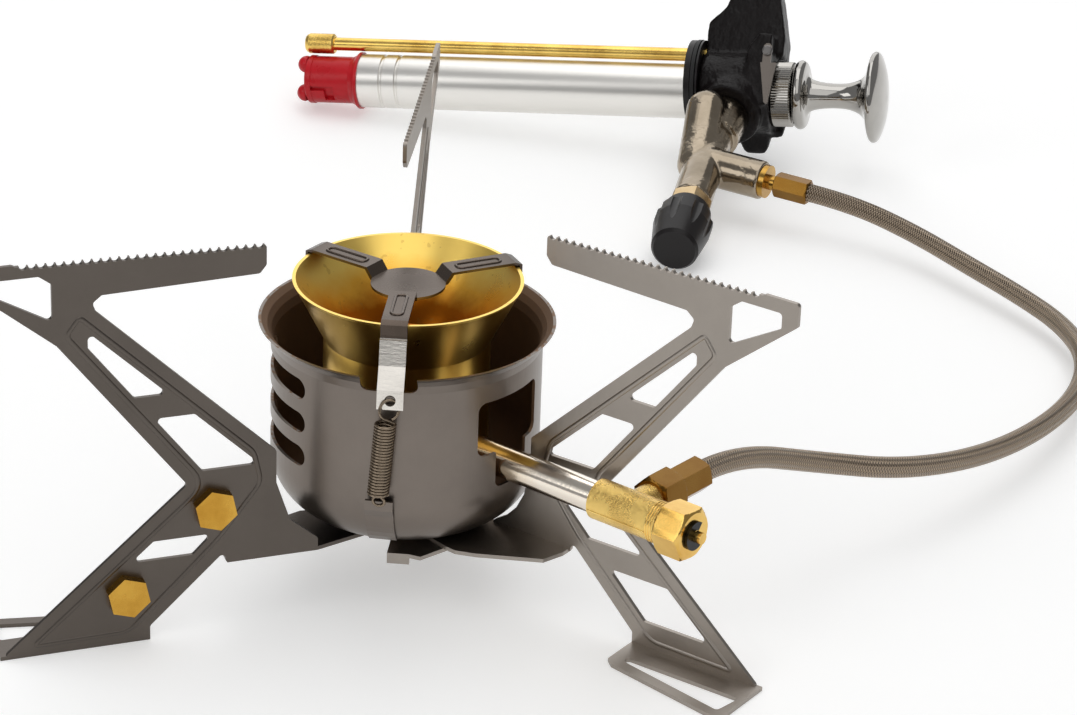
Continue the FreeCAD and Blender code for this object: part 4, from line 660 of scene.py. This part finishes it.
def moulded(name, colour, roughness, crease=0.0, shade=None, gloss=0.3):
    """Moulded plastic: a fine grain, slow changes of gloss, and soft creases where asked."""
    material, node, link, shader = finish(name, 0.0, roughness)
    shader.inputs["Specular IOR Level"].default_value = gloss
    place = node("TexCoord").outputs["Object"]
    clouds = noise(node, link, place, 60.0, detail=3.0)
    link(ramp(node, link, clouds, [(0.3, shade or tuple(0.8 * c for c in colour)), (0.7, colour)]),
         shader.inputs["Base Color"])
    link(maths(node, link, "MULTIPLY_ADD", clouds, 0.2, roughness - 0.1), shader.inputs["Roughness"])
    grain = noise(node, link, place, 900.0, detail=2.0)
    if crease:
        folds = noise(node, link, place, 1.0, stretch=(160.0, 160.0, 60.0))
        grain = maths(node, link, "ADD", maths(node, link, "MULTIPLY", folds, crease),
                      maths(node, link, "MULTIPLY", grain, 0.05))
        bumped(node, link, shader, grain, 0.8, 0.002)
    else:
        bumped(node, link, shader, grain, 0.06, 0.0002)
    return material


clothe(drawn_metal("barrel_alloy", barrel_colour, 0.3, shade=0.95), "pump_tube")
clothe(brass("pickup_brass", pickup_gold, 0.2), "pickup_tube")
clothe(brass("filter_brass", pickup_gold, 0.26, cast=0.3, dark=0.55), "pickup_filter")
clothe(moulded("red_plastic", red_cap_colour, 0.28, shade=red_cap_shade), "foot_cap")

# ------------------------------------------------------------------ grip and collar
# Black moulded grip with its wing and lobe, drawn in by soft creases, the threaded collar with its
# rubber ring, and the small steel plate that keeps the knurled nut from turning back.
black_colour = (0.0085, 0.0065, 0.0065)
grip_voxel, grip_passes, weld_distance = 0.0007, 14, 0.00001


def softened(name, node_name, voxel, passes):
    """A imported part's skin with its edges worn round, as they leave the mould.

    The copy is merged and rebuilt on a grid of voxels, and each point then moves to the mean of its
    neighbours a few times.
    """
    mesh = nodes[node_name].data.copy()
    mesh.name = name
    mesh.materials.clear()
    piece = bpy.data.objects.new(name, mesh)
    scene.collection.objects.link(piece)
    merged = piece.modifiers.new("merged", "WELD")
    merged.merge_threshold = weld_distance
    rebuilt = piece.modifiers.new("rebuilt", "REMESH")
    rebuilt.mode = "VOXEL"
    rebuilt.voxel_size = voxel
    rebuilt.use_smooth_shade = True
    worn = piece.modifiers.new("worn", "SMOOTH")
    worn.factor = 0.5
    worn.iterations = passes
    worked_out = piece.evaluated_get(bpy.context.evaluated_depsgraph_get())
    finished = bpy.data.meshes.new_from_object(worked_out)
    piece.modifiers.clear()
    piece.data = finished
    return piece


bpy.context.view_layer.update()
grip = softened("grip_moulding", "pump_body", grip_voxel, grip_passes)
grip.data.materials.append(moulded("grip_plastic", black_colour, 0.36, crease=0.9, gloss=0.16))
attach(grip, "stove")
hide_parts("pump_body")
clothe(moulded("black_plastic", black_colour, 0.34), "valve_knob", "bottle_collar")
clothe(moulded("black_rubber", (0.012, 0.012, 0.012), 0.5), "neck_seal", "check_valve_disc", "spindle_seal")
clothe(satin_steel("stop_plate_steel", (0.20, 0.175, 0.155), 0.34), "nut_stop_plate")
clothe(satin_steel("screw_steel", (0.20, 0.19, 0.185), 0.3), "stop_plate_screw")
clothe(satin_steel("black_clip", (0.03, 0.03, 0.032), 0.25), "e_clip")
clothe(moulded("wick_felt", (0.50, 0.46, 0.40), 0.9), "priming_pad")
clothe(moulded("cup_leather_hide", (0.20, 0.10, 0.05), 0.7), "cup_leather")

# ------------------------------------------------------------------ valve casting
# Nickel-plated brass casting: bright and smooth where it was polished, pebbled where the casting's
# skin was left on the hose port.
nickel_colour, nickel_shade = (0.37, 0.31, 0.235), (0.25, 0.205, 0.15)
casting_voxel, casting_passes = 0.0005, 8


def nickel_plate():
    """Plating over a casting: fine pebbles where clouds of the second noise are high."""
    material, node, link, shader = finish("nickel_plate", 1.0, 0.12)
    place = node("TexCoord").outputs["Object"]
    clouds = noise(node, link, place, 55.0, detail=4.0)
    link(ramp(node, link, clouds, [(0.3, nickel_shade), (0.62, nickel_colour)]), shader.inputs["Base Color"])
    link(maths(node, link, "MULTIPLY_ADD", clouds, 0.22, 0.05), shader.inputs["Roughness"])
    pebbles = noise(node, link, place, 520.0, detail=3.0)
    patch = ramp(node, link, clouds, [(0.5, (0.08, 0.08, 0.08)), (0.62, (1.0, 1.0, 1.0))])
    bumped(node, link, shader, maths(node, link, "MULTIPLY", pebbles, patch), 0.35, 0.0008)
    return material


casting = softened("valve_casting", "valve_body", casting_voxel, casting_passes)
casting.data.materials.append(nickel_plate())
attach(casting, "stove")
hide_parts("valve_body")

# ------------------------------------------------------------------ plunger
# Turned and polished knob on its rod, and the knurled nut that closes the barrel and guides the rod,
# with a straight knurl round it.
polish_colour = (0.43, 0.415, 0.39)
pump_foot, pump_x, pump_z = (-0.0134, 0.3705, 0.0132), (0.28318, 0.95907, 0.0), (0.95512, -0.28201, 0.09063)
knurl_radius, knurl_deep, knurl_teeth, points_per_tooth = 0.012, 0.00035, 72, 6
knurl_edge_down, knurl_edge_wide = 0.0006, 0.0005
knurl_from, knurl_to, nut_bore, nut_neck_radius, nut_neck_from = 0.16085, 0.1683, 0.00255, 0.00935, 0.1558
pump_frame = turned_frame(pump_foot, pump_x, pump_z)
tooth = 0.5 - 0.5 * np.cos(np.linspace(0.0, 2.0 * np.pi * knurl_teeth, knurl_teeth * points_per_tooth,
                                       endpoint=False))
edge = knurl_radius - knurl_edge_down
profile_heights = [nut_neck_from, nut_neck_from, knurl_from, knurl_from, knurl_from + knurl_edge_wide,
                   knurl_to - knurl_edge_wide, knurl_to, knurl_to]
profile_radii = [nut_bore, nut_neck_radius, nut_neck_radius, edge, knurl_radius, knurl_radius, edge, nut_bore]
toothed_rows = np.array([0.0, 0.0, 0.0, 0.3, 1.0, 1.0, 0.3, 0.0])
knurl = np.array(profile_radii)[:, None] - knurl_deep * toothed_rows[:, None] * tooth[None, :]
polished = drawn_metal("polished_alloy", polish_colour, 0.07, shade=0.9)
knurled = swept_round("knurled_nut_teeth", knurl, profile_heights, pump_frame, wrap=True)
knurled.data.materials.append(polished)
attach(knurled, "stove")
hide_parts("knurled_nut")
clothe(polished, "plunger_rod")
knob_profile = [(0.0025, 0.0), (0.0116, 0.0), (0.0127, 0.0012), (0.0129, 0.0022), (0.0126, 0.0033),
                (0.0114, 0.0044), (0.0066, 0.0046), (0.0052, 0.0079), (0.0046, 0.0129), (0.0046, 0.0184),
                (0.0054, 0.0219), (0.0069, 0.0249), (0.0100, 0.0270), (0.0160, 0.0282), (0.0169, 0.0292),
                (0.0169, 0.0302), (0.0160, 0.0314), (0.0110, 0.0332), (0.0056, 0.0341), (0.00005, 0.0344)]
knob_from, knob_turns, knob_sharp = 0.1687, 96, 50
knob_line = spline_points("knob", [(radius, 0.0, height) for radius, height in knob_profile], 6)
knob = swept_round("knob_turned", np.repeat(knob_line[:, :1], knob_turns, axis=1),
                   knob_line[:, 2] + knob_from, pump_frame, sharp=knob_sharp)
knob.data.materials.append(polished)
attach(knob, "plunger_body")
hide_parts("plunger_knob")

# ------------------------------------------------------------------ floor and light
# A white paper sweep, lit by large soft lamps from above, behind and in front, and a pale surround.
paper_colour, paper_glow = (0.80, 0.80, 0.797), 0.35
surround_colour, surround_level = (0.98, 0.985, 1.0), 0.27
floor_mesh = bpy.data.meshes.new("floor")
floor_mesh.from_pydata([(-4, -3, 0), (4, -3, 0), (4, 6, 0), (-4, 6, 0)], [], [(0, 1, 2, 3)])
floor = bpy.data.objects.new("floor", floor_mesh)
scene.collection.objects.link(floor)
floor_finish, node, link, shader = finish("floor_paper", 0.0, 0.9, paper_colour)
rays = node("LightPath")
seen = maths(node, link, "ADD", rays.outputs["Is Camera Ray"], rays.outputs["Is Glossy Ray"])
seen = maths(node, link, "ADD", seen, rays.outputs["Is Transmission Ray"])
link(maths(node, link, "MULTIPLY", seen, paper_glow), shader.inputs["Emission Strength"])
shader.inputs["Emission Color"].default_value = (1.0, 1.0, 0.995, 1.0)
floor_mesh.materials.append(floor_finish)


def soft_lamp(name, place, aim, size, power):
    """A square soft lamp that faces a point: its side in metres, its power in watts."""
    light = bpy.data.lights.new(name, "AREA")
    light.shape = "SQUARE"
    light.size = size
    light.energy = power
    lamp = bpy.data.objects.new(name, light)
    lamp.matrix_world = (Matrix.Translation(place)
                         @ (Vector(aim) - Vector(place)).to_track_quat("-Z", "Y").to_matrix().to_4x4())
    scene.collection.objects.link(lamp)


soft_lamp("overhead", (0.1, 0.5, 1.7), (0.05, 0.1, 0.0), 1.4, 9.0)
soft_lamp("back_sweep", (0.1, 2.3, 1.3), (0.05, 0.1, 0.05), 2.4, 18.0)
soft_lamp("front_left", (-1.4, -0.8, 1.0), (0.05, 0.1, 0.05), 0.9, 4.0)
soft_lamp("front_sweep", (0.2, -1.5, 2.1), (0.05, 0.1, 0.05), 2.5, 17.0)
world = bpy.data.worlds.new("surround")
world.use_nodes = True
world.node_tree.nodes["Background"].inputs[0].default_value = (*surround_colour, 1.0)
world.node_tree.nodes["Background"].inputs[1].default_value = surround_level
scene.world = world
scene.view_settings.view_transform = "Standard"
